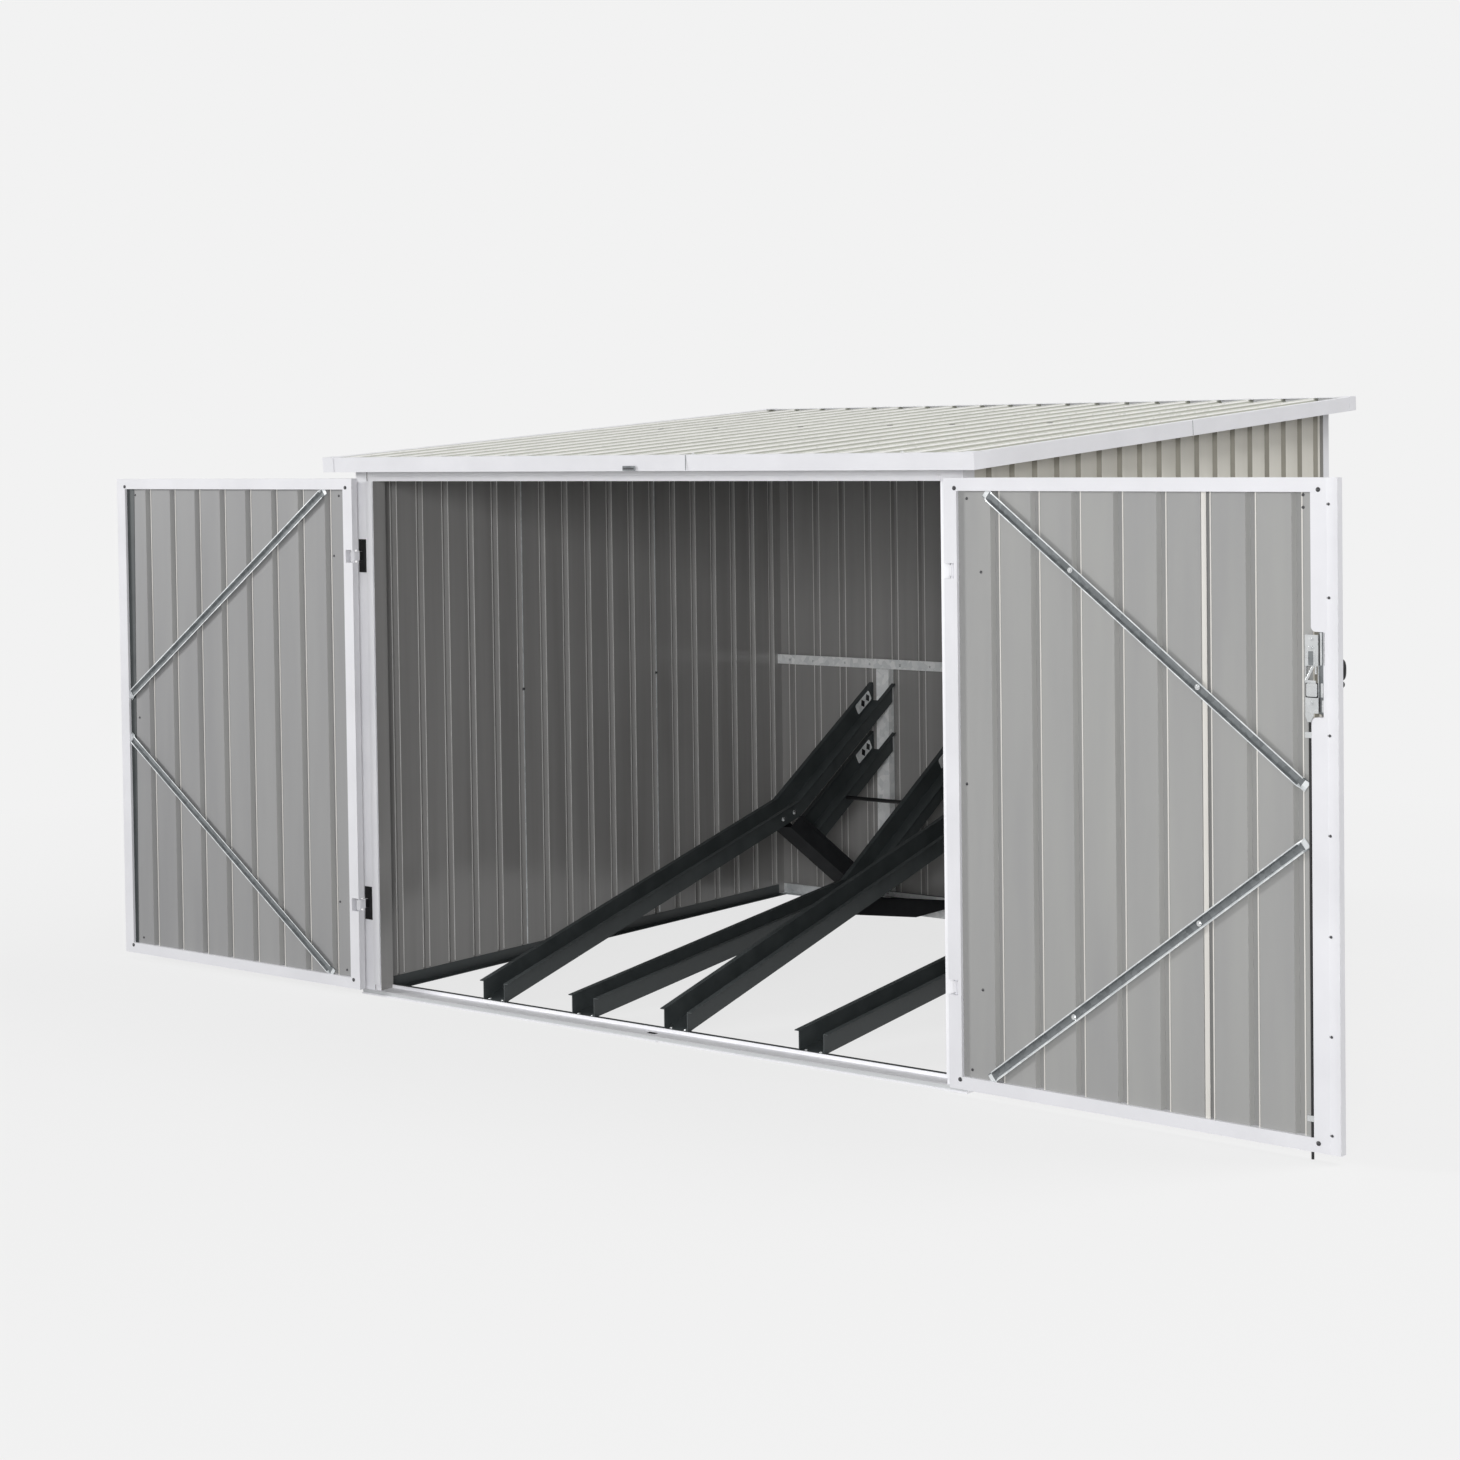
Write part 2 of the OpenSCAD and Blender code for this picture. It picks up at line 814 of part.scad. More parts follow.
// A door's folded frame with notches for the hinge eyes and the hinge pins in them
module door_frame(stile) {
    difference() {
        translate([-hinge_reach, -door_out, door_z])
            cube([free_edge + hinge_reach, door_t, door_h]);
        translate([door_stile - hinge_reach, -door_t, door_z + door_rail])
            cube([free_edge + hinge_reach - door_stile - stile, 2 * door_t, door_h - 2 * door_rail]);
        for (z = [hinge_low, hinge_high])
            translate([-hinge_reach - cut, -door_t, z - hinge_notch_h / 2])
                cube([hinge_reach + cut + hinge_notch_x, 2 * door_t, hinge_notch_h]);
    }
    for (z = [hinge_low, hinge_high])
        translate([0, 0, z - hinge_notch_h / 2])
            cylinder(r = hinge_pin_r, h = hinge_notch_h);
}

// A door's ribbed sheet in its frame, ribs outwards
module door_sheet(stile, shift) {
    run = free_edge + hinge_reach - door_stile - stile;
    ribs = 1 + floor((run - 2 * door_rib_edge) / door_rib_pitch);
    first = (run - (ribs - 1) * door_rib_pitch) / 2 + shift;
    color("#a8a8a6")
        translate([free_edge - stile, sheet_y, door_z + door_rail])
            rotate([0, 0, 180])
                linear_extrude(door_h - 2 * door_rail)
                    polygon(ribbed_outline(run, [for (i = [0:ribs - 1]) first + i * door_rib_pitch]));
}

// Flat diagonal bars from the hinge side's corners to the given end at mid-height
module door_braces(end) {
    low = door_z + door_rail;
    high = door_top - door_rail;
    middle = (low + high) / 2;
    near = door_stile - hinge_reach;
    reach = end - brace_start;
    rise = high - middle - brace_split / 2;
    tilt = atan2(rise, reach);
    color(zinc)
        for (side = [0, 1])
            translate([0, sheet_y, middle])
                mirror([0, 0, side])
                    intersection() {
                        translate([brace_start, 0, high - middle])
                            rotate([0, tilt, 0])
                                translate([-brace_w * 2, 0, -brace_w / 2])
                                    cube([reach / cos(tilt) + 4 * brace_w, brace_t, brace_w]);
                        translate([near, -door_t, 0])
                            cube([end - near, 2 * door_t, high - middle]);
                    }
}

// Cut-out for the lock in its stile, with rounded corners at the stile's inner edge
module lock_cutout() {
    room = lock_h + 2 * lock_room;
    translate([free_edge - lock_stile - cut, -door_t, lock_z - lock_room])
        cube([cut + lock_stile - lock_stile_waist, 2 * door_t, room]);
    for (side = [0, 1])
        translate([free_edge - lock_stile, 0, lock_z + lock_h / 2])
            mirror([0, 0, side])
                translate([0, 0, room / 2 - cut])
                    difference() {
                        translate([-cut, -door_t, 0])
                            cube([cut + lock_corner_r, 2 * door_t, cut + lock_corner_r]);
                        translate([lock_corner_r, -2 * door_t, cut + lock_corner_r])
                            rotate([-90, 0, 0])
                                cylinder(r = lock_corner_r, h = 4 * door_t);
                    }
}

module left_door_frame() {
    color(paint_white)
        left_hung(left_open)
            door_frame(door_stile);
}

module left_door_sheet() {
    left_hung(left_open)
        door_sheet(door_stile, left_rib_shift);
}

module left_door_braces() {
    left_hung(left_open)
        door_braces(free_edge - door_stile);
}

// The right door's frame is cut out for the lock and bored for the drop rod
module right_door_frame() {
    color(paint_white)
        right_hung(right_open)
            difference() {
                door_frame(lock_stile);
                lock_cutout();
                translate([rod_x, rod_y, 0])
                    cylinder(r = rod_r + pin_fit, h = door_z + door_rail + cut);
            }
}

module right_door_sheet() {
    right_hung(right_open)
        door_sheet(lock_stile, right_rib_shift);
}

module right_door_braces() {
    right_hung(right_open)
        door_braces(rod_x - rod_r - swing_gap);
}

// A hinge's plate on the jamb with the eye for a door's pin
module hinge_eye() {
    translate([0, 0, -hinge_eye_l / 2])
        difference() {
            union() {
                cylinder(r = hinge_eye_r, h = hinge_eye_l);
                cube([hinge_eye_r, door_in + door_gap, hinge_eye_l]);
            }
            translate([0, 0, -cut])
                cylinder(r = hinge_pin_r + pin_fit, h = hinge_eye_l + 2 * cut);
        }
    translate([-hinge_pin_r, door_in + door_gap - hinge_plate_t, -hinge_l / 2])
        cube([hinge_plate_w, hinge_plate_t, hinge_l]);
}

module hinge_eyes() {
    color(black)
        for (side = [0, 1], z = [hinge_low, hinge_high])
            mirror([side, 0, 0])
                translate([-hinge_x, hinge_y, z])
                    hinge_eye();
}

// Lock

// The case sits in the stile's cut-out and over the sheet, bored for the drop rod and its travel
module lock_case() {
    color(zinc)
        right_hung(right_open)
            difference() {
                translate([free_edge - lock_stile - lock_over, sheet_y, lock_z])
                    cube([lock_w, door_in + lock_proud - sheet_y, lock_h]);
                translate([rod_x, rod_y, lock_z - cut])
                    cylinder(r = rod_r + pin_fit, h = cut + rod_engage + rod_lift + fit);
            }
}

module rod_guides() {
    color(zinc)
        right_hung(right_open)
            for (z = [door_z + door_rail + rod_guide_z, lock_z - rod_guide_drop])
                difference() {
                    translate([rod_x - lock_over, sheet_y, z])
                        cube([lock_over + rod_inset - fit, door_in - sheet_y, rod_guide]);
                    translate([rod_x, rod_y, z - cut])
                        cylinder(r = rod_r + pin_fit, h = rod_guide + 2 * cut);
                }
}

module drop_rod() {
    color(black)
        right_hung(right_open)
            translate([rod_x, rod_y, rod_tip])
                cylinder(r = rod_r, h = lock_z + rod_engage - rod_tip);
}

module door_handle() {
    color(black)
        right_hung(right_open)
            translate([free_edge - handle_inset, -door_out - pin_fit, lock_z + lock_h / 2])
                rotate([90, 0, 0]) {
                    cylinder(r = handle_w / 2, h = handle_d);
                    translate([-handle_w / 2, -handle_l / 2, handle_d - handle_w / 2])
                        cube([handle_w, handle_l, handle_w / 2]);
                }
}

front_sill();
front_base_rail();
side_base_rails();
rear_base_rail();
left_jamb();
right_jamb();
rear_posts();
door_header();
side_top_rails();
rear_top_rail();
roof_purlin();
left_wall();
right_wall();
rear_wall();
rear_girt();
roof_front_sheets();
roof_rear_sheets();
front_fascia();
rear_fascia();
left_fascia();
right_fascia();
roof_corner_caps();
rail_1();
rail_2();
rail_3();
rail_4();
upper_guides();
lower_guides();
rack_legs();
rack_posts();
rack_floor_beam();
rack_ties();
hinge_eyes();
left_door_frame();
left_door_sheet();
left_door_braces();
right_door_frame();
right_door_sheet();
right_door_braces();
lock_case();
rod_guides();
drop_rod();
door_handle();
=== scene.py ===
import math
import bpy
import numpy as np
from mathutils import Matrix, Vector


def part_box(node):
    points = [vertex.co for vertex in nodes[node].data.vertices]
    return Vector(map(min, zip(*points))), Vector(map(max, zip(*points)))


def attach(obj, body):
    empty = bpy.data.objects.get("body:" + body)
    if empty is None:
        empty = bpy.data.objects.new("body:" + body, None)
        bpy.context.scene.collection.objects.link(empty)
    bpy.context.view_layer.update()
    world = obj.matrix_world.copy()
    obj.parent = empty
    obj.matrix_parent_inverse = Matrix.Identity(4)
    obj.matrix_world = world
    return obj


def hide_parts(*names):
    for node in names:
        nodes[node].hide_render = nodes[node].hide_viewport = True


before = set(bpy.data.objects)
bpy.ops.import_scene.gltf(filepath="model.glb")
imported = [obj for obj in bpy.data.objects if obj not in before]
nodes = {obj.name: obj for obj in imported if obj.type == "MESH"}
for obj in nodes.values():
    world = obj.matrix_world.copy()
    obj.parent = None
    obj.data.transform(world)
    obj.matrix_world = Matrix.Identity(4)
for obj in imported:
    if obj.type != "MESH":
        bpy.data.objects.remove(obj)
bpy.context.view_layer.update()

print("frame loaded:", len(nodes), "nodes")

# main sizes of the shelter, in metres, as the solids have them
shed = {
    "frontY": -0.019, "innerX": 0.943, "innerY": 1.859, "girtZ": 0.757,
    "roofFrontY": -0.076, "roofFrontZ": 1.433, "roofRise": 0.132, "roofRun": 1.981, "roofHalfWidth": 1.019,
    "ribHeight": 0.011, "ribFoot": 0.024, "ribCrest": 0.013, "ribPitch": 0.1,
}
# a leaf's own sizes, from its hinge axis: x to the free edge, y into the shed when closed
door = {
    "hingeX": 0.9425, "hingeY": -0.0455, "low": 0.018, "high": 1.378, "rail": 0.029, "inner": 0.015, "sheet": 0.007,
    "openAngle": {"left": 180.0, "right": 178.0},
}
sheetEnds = (door["low"] + door["rail"], door["high"] - door["rail"])  # where a leaf's sheet shows between its rails
roofSlope = math.atan2(shed["roofRise"], shed["roofRun"])
roofLength = shed["roofRun"] / math.cos(roofSlope)
seat = 0.0001  # thin bars and marks start this far inside the face that carries them, and shoes this far off it
fine = 0.0002  # corner radius of the thinnest bars, and the broken edge of the thinnest plates


def roofPoint(x, u, v):
    # across the roof, up its slope from the front edge, and square off it
    x, u, v = np.broadcast_arrays(np.asarray(x, float), u, v)
    y = shed["roofFrontY"] + u * math.cos(roofSlope) - v * math.sin(roofSlope)
    z = shed["roofFrontZ"] + u * math.sin(roofSlope) + v * math.cos(roofSlope)
    return np.stack([x, y, z], -1)


def doorPoint(side, p):
    # a point of the closed leaf, turned about the hinge to the angle at which the leaf stands open
    p = np.asarray(p, float)
    a = math.radians(door["openAngle"][side])
    x = -door["hingeX"] + p[..., 0] * math.cos(a) + p[..., 1] * math.sin(a)
    y = door["hingeY"] - p[..., 0] * math.sin(a) + p[..., 1] * math.cos(a)
    return np.stack([x if side == "left" else -x, y, p[..., 2]], -1)


def doorAxes(side):
    # the leaf's three directions where it stands: to the free edge, to its inner side, up
    o, x, y, z = doorPoint(side, [[0, 0, 0], [1, 0, 0], [0, 1, 0], [0, 0, 1]])
    return x - o, y - o, z - o


def linearRgb(code):
    # sRGB hex to linear light
    c = np.array([int(code[i:i + 2], 16) for i in (1, 3, 5)]) / 255
    c = np.where(c <= 0.04045, c / 12.92, ((c + 0.055) / 1.055) ** 2.4)
    return (*c.tolist(), 1.0)


def addNode(tree, kind, inputs=None, **settings):
    node = tree.nodes.new(kind)
    for key, value in settings.items():
        setattr(node, key, value)
    for key, value in (inputs or {}).items():
        if isinstance(value, bpy.types.NodeSocket):
            tree.links.new(value, node.inputs[key])
        else:
            node.inputs[key].default_value = value
    return node


def newFinish(name, **sockets):
    # a principled surface with its fixed values, and the coordinates that its patterns read
    finish = bpy.data.materials.new(name)
    finish.use_nodes = True
    tree = finish.node_tree
    shader = tree.nodes["Principled BSDF"]
    for key, value in sockets.items():
        shader.inputs[key.replace("_", " ")].default_value = value
    coords = addNode(tree, "ShaderNodeTexCoord")
    return finish, tree, shader, coords.outputs["Object"]


def mottled(name, low, high, cellMm, roughness, stretch=(1, 1, 1), bumpMm=0.0, bumpCellMm=3.0, **sockets):
    # colour between two close tones in soft patches, with roughness and a fine relief from the same kind of noise
    finish, tree, shader, coords = newFinish(name, **sockets)
    scaled = addNode(tree, "ShaderNodeMapping", {"Vector": coords, "Scale": stretch})
    noise = addNode(tree, "ShaderNodeTexNoise", {
        "Vector": scaled.outputs["Vector"], "Scale": 1000 / cellMm, "Detail": 3.0, "Roughness": 0.55})
    span = (0.3, 0.7)  # the part of the noise's range that holds nearly all of it
    tones = addNode(tree, "ShaderNodeValToRGB", {"Fac": noise.outputs["Fac"]})
    for stop, position, tone in zip(tones.color_ramp.elements, span, (low, high)):
        stop.position = position
        stop.color = linearRgb(tone)
    tree.links.new(tones.outputs["Color"], shader.inputs["Base Color"])
    spread = addNode(tree, "ShaderNodeMapRange", {
        "Value": noise.outputs["Fac"], "From Min": span[0], "From Max": span[1],
        "To Min": roughness[0], "To Max": roughness[1]})
    tree.links.new(spread.outputs["Result"], shader.inputs["Roughness"])
    if bumpMm:
        grain = addNode(tree, "ShaderNodeTexNoise", {
            "Vector": scaled.outputs["Vector"], "Scale": 1000 / bumpCellMm, "Detail": 2.0})
        relief = addNode(tree, "ShaderNodeBump", {
            "Height": grain.outputs["Fac"], "Strength": 1.0, "Distance": bumpMm / 1000})
        tree.links.new(relief.outputs["Normal"], shader.inputs["Normal"])
    return finish


def spangled(name, low, high, cellMm, roughness, **sockets):
    # zinc crystals: each cell has its own grey and its own gloss
    finish, tree, shader, coords = newFinish(name, **sockets)
    cells = addNode(tree, "ShaderNodeTexVoronoi", {"Vector": coords, "Scale": 1000 / cellMm, "Randomness": 1.0})
    split = addNode(tree, "ShaderNodeSeparateColor", {"Color": cells.outputs["Color"]})
    tones = addNode(tree, "ShaderNodeValToRGB", {"Fac": split.outputs["Red"]})
    for stop, tone in zip(tones.color_ramp.elements, (low, high)):
        stop.color = linearRgb(tone)
    gloss = addNode(tree, "ShaderNodeMapRange", {
        "Value": split.outputs["Green"], "To Min": roughness[0], "To Max": roughness[1]})
    tree.links.new(tones.outputs["Color"], shader.inputs["Base Color"])
    tree.links.new(gloss.outputs["Result"], shader.inputs["Roughness"])
    return finish


# white powder coat on folded steel: satin, with a faint orange peel drawn a little coarse so that it shows
whiteCoat = mottled("whitePowderCoat", "#e1e1e5", "#e7e7eb", 140, (0.38, 0.48), bumpMm=0.1, bumpCellMm=6, IOR=1.5)

# the same coat on the jambs, the header and the sill, painted lighter: painted light that makes up for the shade that
# falls on them
whitePaintedLight = mottled("whiteCoatPaintedLight", "#f1f1f5", "#f8f8fb", 140, (0.4, 0.5), bumpMm=0.06, bumpCellMm=8, IOR=1.5)

# cream coil coat on roll-formed steel, outside: satin, with faint streaks along the ribs
creamCoat = mottled("creamCoilCoat", "#d3d0c7", "#dddad1", 90, (0.45, 0.57), stretch=(1, 1, 0.12),
                    bumpMm=0.3, bumpCellMm=60, IOR=1.5)

# the same coat on the roof, a little paler and duller, streaks run down the slope
roofCoat = mottled("roofCoilCoat", "#dadbd2", "#e3e4dc", 90, (0.55, 0.68), stretch=(1, 0.12, 1),
                   bumpMm=0.3, bumpCellMm=60, IOR=1.5, Specular_IOR_Level=0.35)

# and on the sides of the roof's ribs that face right, painted darker: painted shade on the sides that the light
# doesn't reach
roofFlankShade = mottled("roofFlankPaintedShade", "#a3a49b", "#aeafa6", 70, (0.6, 0.72), stretch=(1, 0.1, 1),
                      bumpMm=0.2, bumpCellMm=40, IOR=1.5, Specular_IOR_Level=0.3)

# grey back coat of the doors' sheets: thinner and flatter than the outside coat
doorBackCoat = mottled("greyBackCoat", "#989898", "#a2a2a0", 110, (0.42, 0.55), stretch=(1, 1, 0.1),
                       bumpMm=0.3, bumpCellMm=70, IOR=1.5)

# the left leaf's sheet: a shade darker
darkerBackCoat = mottled("darkerGreyBackCoat", "#8d8d8e", "#979797", 110, (0.42, 0.55), stretch=(1, 1, 0.1),
                         bumpMm=0.3, bumpCellMm=70, IOR=1.5)

# the right leaf's back coat on the sides of its ribs that face right, painted a shade paler: painted light that makes
# up for the shade in the ribs
ribSideLight = mottled("ribSidePaintedLight", "#a4a4a2", "#aeaeac", 60, (0.42, 0.55), stretch=(1, 1, 0.1),
                        bumpMm=0.1, bumpCellMm=20, IOR=1.5)

# the doors' back coat painted pale along the sheet's lap and the ribs' bends: painted highlights where these edges
# catch the light
doorEdgeHighlight = mottled("doorEdgeHighlight", "#d3d0ca", "#dcdad5", 60, (0.4, 0.52), stretch=(1, 1, 0.1),
                       bumpMm=0.1, bumpCellMm=20, IOR=1.5)

# back coat inside the shed, with more gloss than on the doors
insideCoat = mottled("darkBackCoat", "#8e8d8c", "#9a9998", 60, (0.14, 0.26), stretch=(1, 1, 0.04),
                     bumpMm=0.25, bumpCellMm=70, IOR=1.5)

# the back coat painted pale along the sheets' bends: painted highlights where the bends catch the light
bendHighlight = mottled("bendHighlight", "#dfdedc", "#eae9e7", 60, (0.24, 0.36), stretch=(1, 1, 0.06),
                   bumpMm=0.1, bumpCellMm=40, IOR=1.5)

# the outside coat on one side of each rib, painted darker: painted shade on that side
ribSideShade = mottled("ribSidePaintedShade", "#8f8c83", "#9d9a91", 40, (0.6, 0.75), stretch=(1, 1, 0.3),
                   bumpMm=0.1, bumpCellMm=20, IOR=1.5, Specular_IOR_Level=0.25)

# anthracite powder coat on the racks: semi-matt with a fine grain
anthraciteCoat = mottled("anthracitePowderCoat", "#3a3f40", "#454a4b", 60, (0.4, 0.52),
                         bumpMm=0.1, bumpCellMm=4, IOR=1.5, Specular_IOR_Level=0.4)

# black coat on hinges, rod, handle and ties: semi-gloss
blackCoat = mottled("blackEnamel", "#161617", "#1f1f21", 30, (0.36, 0.48),
                    bumpMm=0.06, bumpCellMm=2, IOR=1.5, Specular_IOR_Level=0.35)

# matt black coat on the rack's legs
mattBlack = mottled("mattBlackCoat", "#27282a", "#313234", 40, (0.7, 0.85),
                    bumpMm=0.06, bumpCellMm=3, IOR=1.5, Specular_IOR_Level=0.06)

# hot-dip galvanised steel with crystals of 12 to 16 mm, and a darker dull copy of it: dull zinc on the blank plate's
# holder and the trims' joints, and painted shade in the braces' troughs and the lock's recesses
zincCoat = spangled("galvanisedSteel", "#ced2d4", "#eaedee", 16, (0.3, 0.48), Metallic=0.4)
dullZincAndShade = spangled("dullZincAndPaintedShade", "#666a6c", "#7c8082", 12, (0.42, 0.58), Metallic=0.5)
# zinc on the girt, the racks' posts and their shoes: pale, with little mirror in it; the pale base is partly painted
# sheen that stands in for the bright reflections of zinc in the dark inside
paleZincAndSheen = spangled("paleZincPaintedSheen", "#dfe2e3", "#fafbfb", 16, (0.35, 0.5), Metallic=0.1)

# passivated zinc of the lock, the rod's guides and the shell's rivets: smooth, with slow changes of tone
latchZinc = mottled("passivatedZinc", "#c2c5c6", "#d3d5d6", 45, (0.22, 0.32), Metallic=0.55)

# bare zinc along the sill's front: even and satin
sillZinc = mottled("satinZinc", "#c2c4c6", "#cccecf", 220, (0.34, 0.44), stretch=(0.2, 1, 1), Metallic=0.15)

# bright zinc on bolts with light turning marks, and dark zinc on the doors' screws and rivets
boltZinc = mottled("brightZincPlate", "#c9cbcc", "#e0e2e3", 4, (0.2, 0.34), bumpMm=0.04, bumpCellMm=1.5, Metallic=0.8)
darkZinc = mottled("darkZincPlate", "#3c3c3e", "#505052", 4, (0.32, 0.46), bumpMm=0.04, bumpCellMm=1.5, Metallic=0.6)
print("finishes made")


def dress(node, *finishes):
    # puts finishes on a CAD node in place of its plain colour
    slots = nodes[node].data.materials
    slots.clear()
    for finish in finishes:
        slots.append(finish)


def pickFinishes(mesh, choose):
    # each face takes the finish whose number choose gives for its middle and its outward direction
    facts = []
    for key in ("center", "normal"):
        flat = np.empty(len(mesh.polygons) * 3, np.float32)
        mesh.polygons.foreach_get(key, flat)
        facts.append(flat.reshape(-1, 3))
    mesh.polygons.foreach_set("material_index", np.asarray(choose(*facts)).astype(np.int32))
    mesh.update()


def dressFaces(node, finishes, choose):
    # as dress, for a node with more than one finish
    dress(node, *finishes)
    pickFinishes(nodes[node].data, choose)


# the header takes the white that is painted lighter against its shade
for finish, names in (
        (whitePaintedLight, ("door_header",)),
        (whiteCoat, ("front_fascia", "rear_fascia", "left_fascia", "right_fascia", "roof_corner_caps",
                     "left_door_frame", "right_door_frame")),
        (anthraciteCoat, ("front_base_rail", "side_base_rails", "rail_1", "rail_2", "rail_3", "rail_4",
                          "upper_guides", "lower_guides")),
        (zincCoat, ("rear_base_rail", "side_top_rails", "rear_top_rail", "roof_purlin", "left_door_braces",
                    "right_door_braces", "lock_case")),
        (paleZincAndSheen, ("rear_girt", "rack_posts")),
        (latchZinc, ("rod_guides",)),
        (blackCoat, ("rack_ties", "drop_rod", "door_handle")),
        (mattBlack, ("rack_legs",))):
    for name in names:
        dress(name, finish)


def ribbed(axis, sign, outerLook, innerLook):
    # a ribbed sheet: the outside coat, the back coat on the other side, and coats of their own on the sides of the
    # ribs that look along outerLook, seen from outside, or along innerLook, seen from inside
    # the sides of the ribs with coats of their own take painted shade outside and painted light on the doors' inner
    # side
    def choose(m, n):
        outside = n[:, axis] * sign > 0.02
        picks = np.where(outside, 0, 1)
        picks = np.where(outside & (n @ np.asarray(outerLook, float) > 0.2), 2, picks)
        return np.where(~outside & (n @ np.asarray(innerLook, float) > 0.2), 3, picks)
    return choose


# ribbed sheets: coats, the axis and sign of the outer side, and the sides of the ribs that have coats of their own,
# painted shade outside and painted light on the doors' inner side
noSide, rightSide, frontSide = (0, 0, 0), (1, 0, 0), (0, -1, 0)
wallCoats, roofCoats = (creamCoat, insideCoat, ribSideShade), (roofCoat, insideCoat, roofFlankShade)
for name, coats, axis, sign, outerLook, innerLook in (
        ("left_wall", wallCoats, 0, -1, frontSide, noSide),
        ("right_wall", wallCoats, 0, 1, frontSide, noSide),
        ("rear_wall", wallCoats, 1, 1, rightSide, noSide),
        ("roof_front_sheets", roofCoats, 2, 1, rightSide, noSide),
        ("roof_rear_sheets", roofCoats, 2, 1, rightSide, noSide),
        ("left_door_sheet", (creamCoat, darkerBackCoat, ribSideShade, doorBackCoat), 1, 1, rightSide, rightSide),
        ("right_door_sheet", (creamCoat, doorBackCoat, ribSideShade, ribSideLight), 1, 1, rightSide, rightSide)):
    dressFaces(name, coats, ribbed(axis, sign, outerLook, innerLook))
# floor beam under the racks: coated, with its front face in pale zinc
dressFaces("rack_floor_beam", (anthraciteCoat, paleZincAndSheen), lambda m, n: n[:, 1] < -0.5)
# posts and jambs: white outside, back coat on the faces that look into the shed
dressFaces("rear_posts", (whiteCoat, insideCoat), lambda m, n: (n[:, 1] < -0.5) | (n[:, 0] * m[:, 0] < -0.3))
# the jambs take the white that is painted lighter against the leaves' shade
for name in ("left_jamb", "right_jamb"):
    dressFaces(name, (whitePaintedLight, insideCoat),
               lambda m, n: (n[:, 1] > 0.5) | (n[:, 0] * np.sign(m[:, 0]) < -0.5))
# hinges: black plate on the jamb, white eye and block in front of it
hinge = {"plateY": -0.0215, "x": 0.9345, "y": (-0.0303, -0.0206), "z": (0.244, 1.172), "height": 0.0236,
         "corner": 0.0004, "thickness": 0.0004, "edge": 0.0001}
dressFaces("hinge_eyes", (blackCoat, whiteCoat), lambda m, n: m[:, 1] < hinge["plateY"])
sill = {"bandZ": 0.0085, "bandHalf": 0.004, "slotX": 0.024, "slotHalf": (0.0132, 0.0072)}


def sillFinish(m, n):
    # white painted lighter against the shade, with bare zinc on the front between the toe and the top, and black on
    # the slot's sides as painted shade in the slot
    halfX, halfY = sill["slotHalf"]
    inSlot = (np.abs(m[:, 0] - sill["slotX"]) < halfX) & (np.abs(m[:, 1]) < halfY) & (np.abs(n[:, 2]) < 0.5)
    onBand = (n[:, 1] < -0.3) & (np.abs(m[:, 2] - sill["bandZ"]) < sill["bandHalf"])
    return np.where(inSlot, 2, onBand)


dressFaces("front_sill", (whitePaintedLight, sillZinc, blackCoat), sillFinish)
print("nodes dressed")


def skinFaces(rings, count, start):
    # quads between neighbouring rings of the same count of points, with a flat cap on each end
    i = np.arange(rings - 1)[:, None] * count
    j = np.arange(count)[None, :]
    k = (j + 1) % count
    quads = np.stack([i + j, i + k, i + count + k, i + count + j], -1).reshape(-1, 4) + start
    first, last = start + np.arange(count)[::-1], start + (rings - 1) * count + np.arange(count)
    return quads.tolist() + [first.tolist(), last.tolist()]


def facingOut(shape):
    # a stack of rings that encloses a negative volume is run the other way round, so that its faces look outwards
    a = shape - shape.reshape(-1, 3).mean(0)
    b = np.roll(a, -1, 1)
    volume = (a[:-1] * np.cross(b[:-1], b[1:])).sum() + (a[:-1] * np.cross(b[1:], a[1:])).sum()
    volume += (a[-1, :1] * np.cross(a[-1], b[-1])).sum() - (a[0, :1] * np.cross(a[0], b[0])).sum()
    return shape if volume > 0 else shape[:, ::-1]


def pieceOf(name, shapes, finish, body):
    # ring stacks, each an array of rings by points by three, as one mesh that rides on a body of the frame
    points, faces, start = [], [], 0
    for shape in shapes:
        rings, count = shape.shape[:2]
        points.append(facingOut(shape).reshape(-1, 3))
        faces += skinFaces(rings, count, start)
        start += rings * count
    mesh = bpy.data.meshes.new(name)
    mesh.from_pydata(np.concatenate(points), [], faces)
    mesh.update()
    mesh.polygons.foreach_set("use_smooth", np.ones(len(mesh.polygons), bool))
    mesh.set_sharp_from_angle(angle=math.radians(35))
    mesh.materials.append(finish)
    piece = bpy.data.objects.new(name, mesh)
    bpy.context.scene.collection.objects.link(piece)
    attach(piece, body)
    return piece


def axesFor(axis):
    # two directions square to an axis that make a right-handed set with it
    w = np.asarray(axis, float) / np.linalg.norm(axis)
    h = np.array([0.0, 0.0, 1.0]) if abs(w[2]) < 0.9 else np.array([1.0, 0.0, 0.0])
    u = np.cross(h, w)
    u /= np.linalg.norm(u)
    return u, np.cross(w, u), w


def turned(place, axis, radii, heights, sides=16):
    # a turned form: at each height along the axis a circle, or a hexagon for six sides, of the given radius
    u, v, w = axesFor(axis)
    a = np.arange(sides) * 2 * math.pi / sides
    ring = np.cos(a)[:, None] * u + np.sin(a)[:, None] * v
    return np.asarray(place) + np.asarray(radii)[:, None, None] * ring + np.asarray(heights)[:, None, None] * w


def screwHead(place, axis, r):
    # a pan head on its washer: the washer's flat edge, then a quarter of an ellipse up to the middle
    t = np.linspace(0, math.pi / 2, 5)
    radii = np.concatenate([[1.55, 1.55, 1.0], np.cos(t)[:-1], [0.05]]) * r
    heights = np.concatenate([[-0.15, 0.2, 0.24], 0.24 + 0.55 * np.sin(t)[:-1], [0.79]]) * r
    return turned(place, axis, radii, heights)


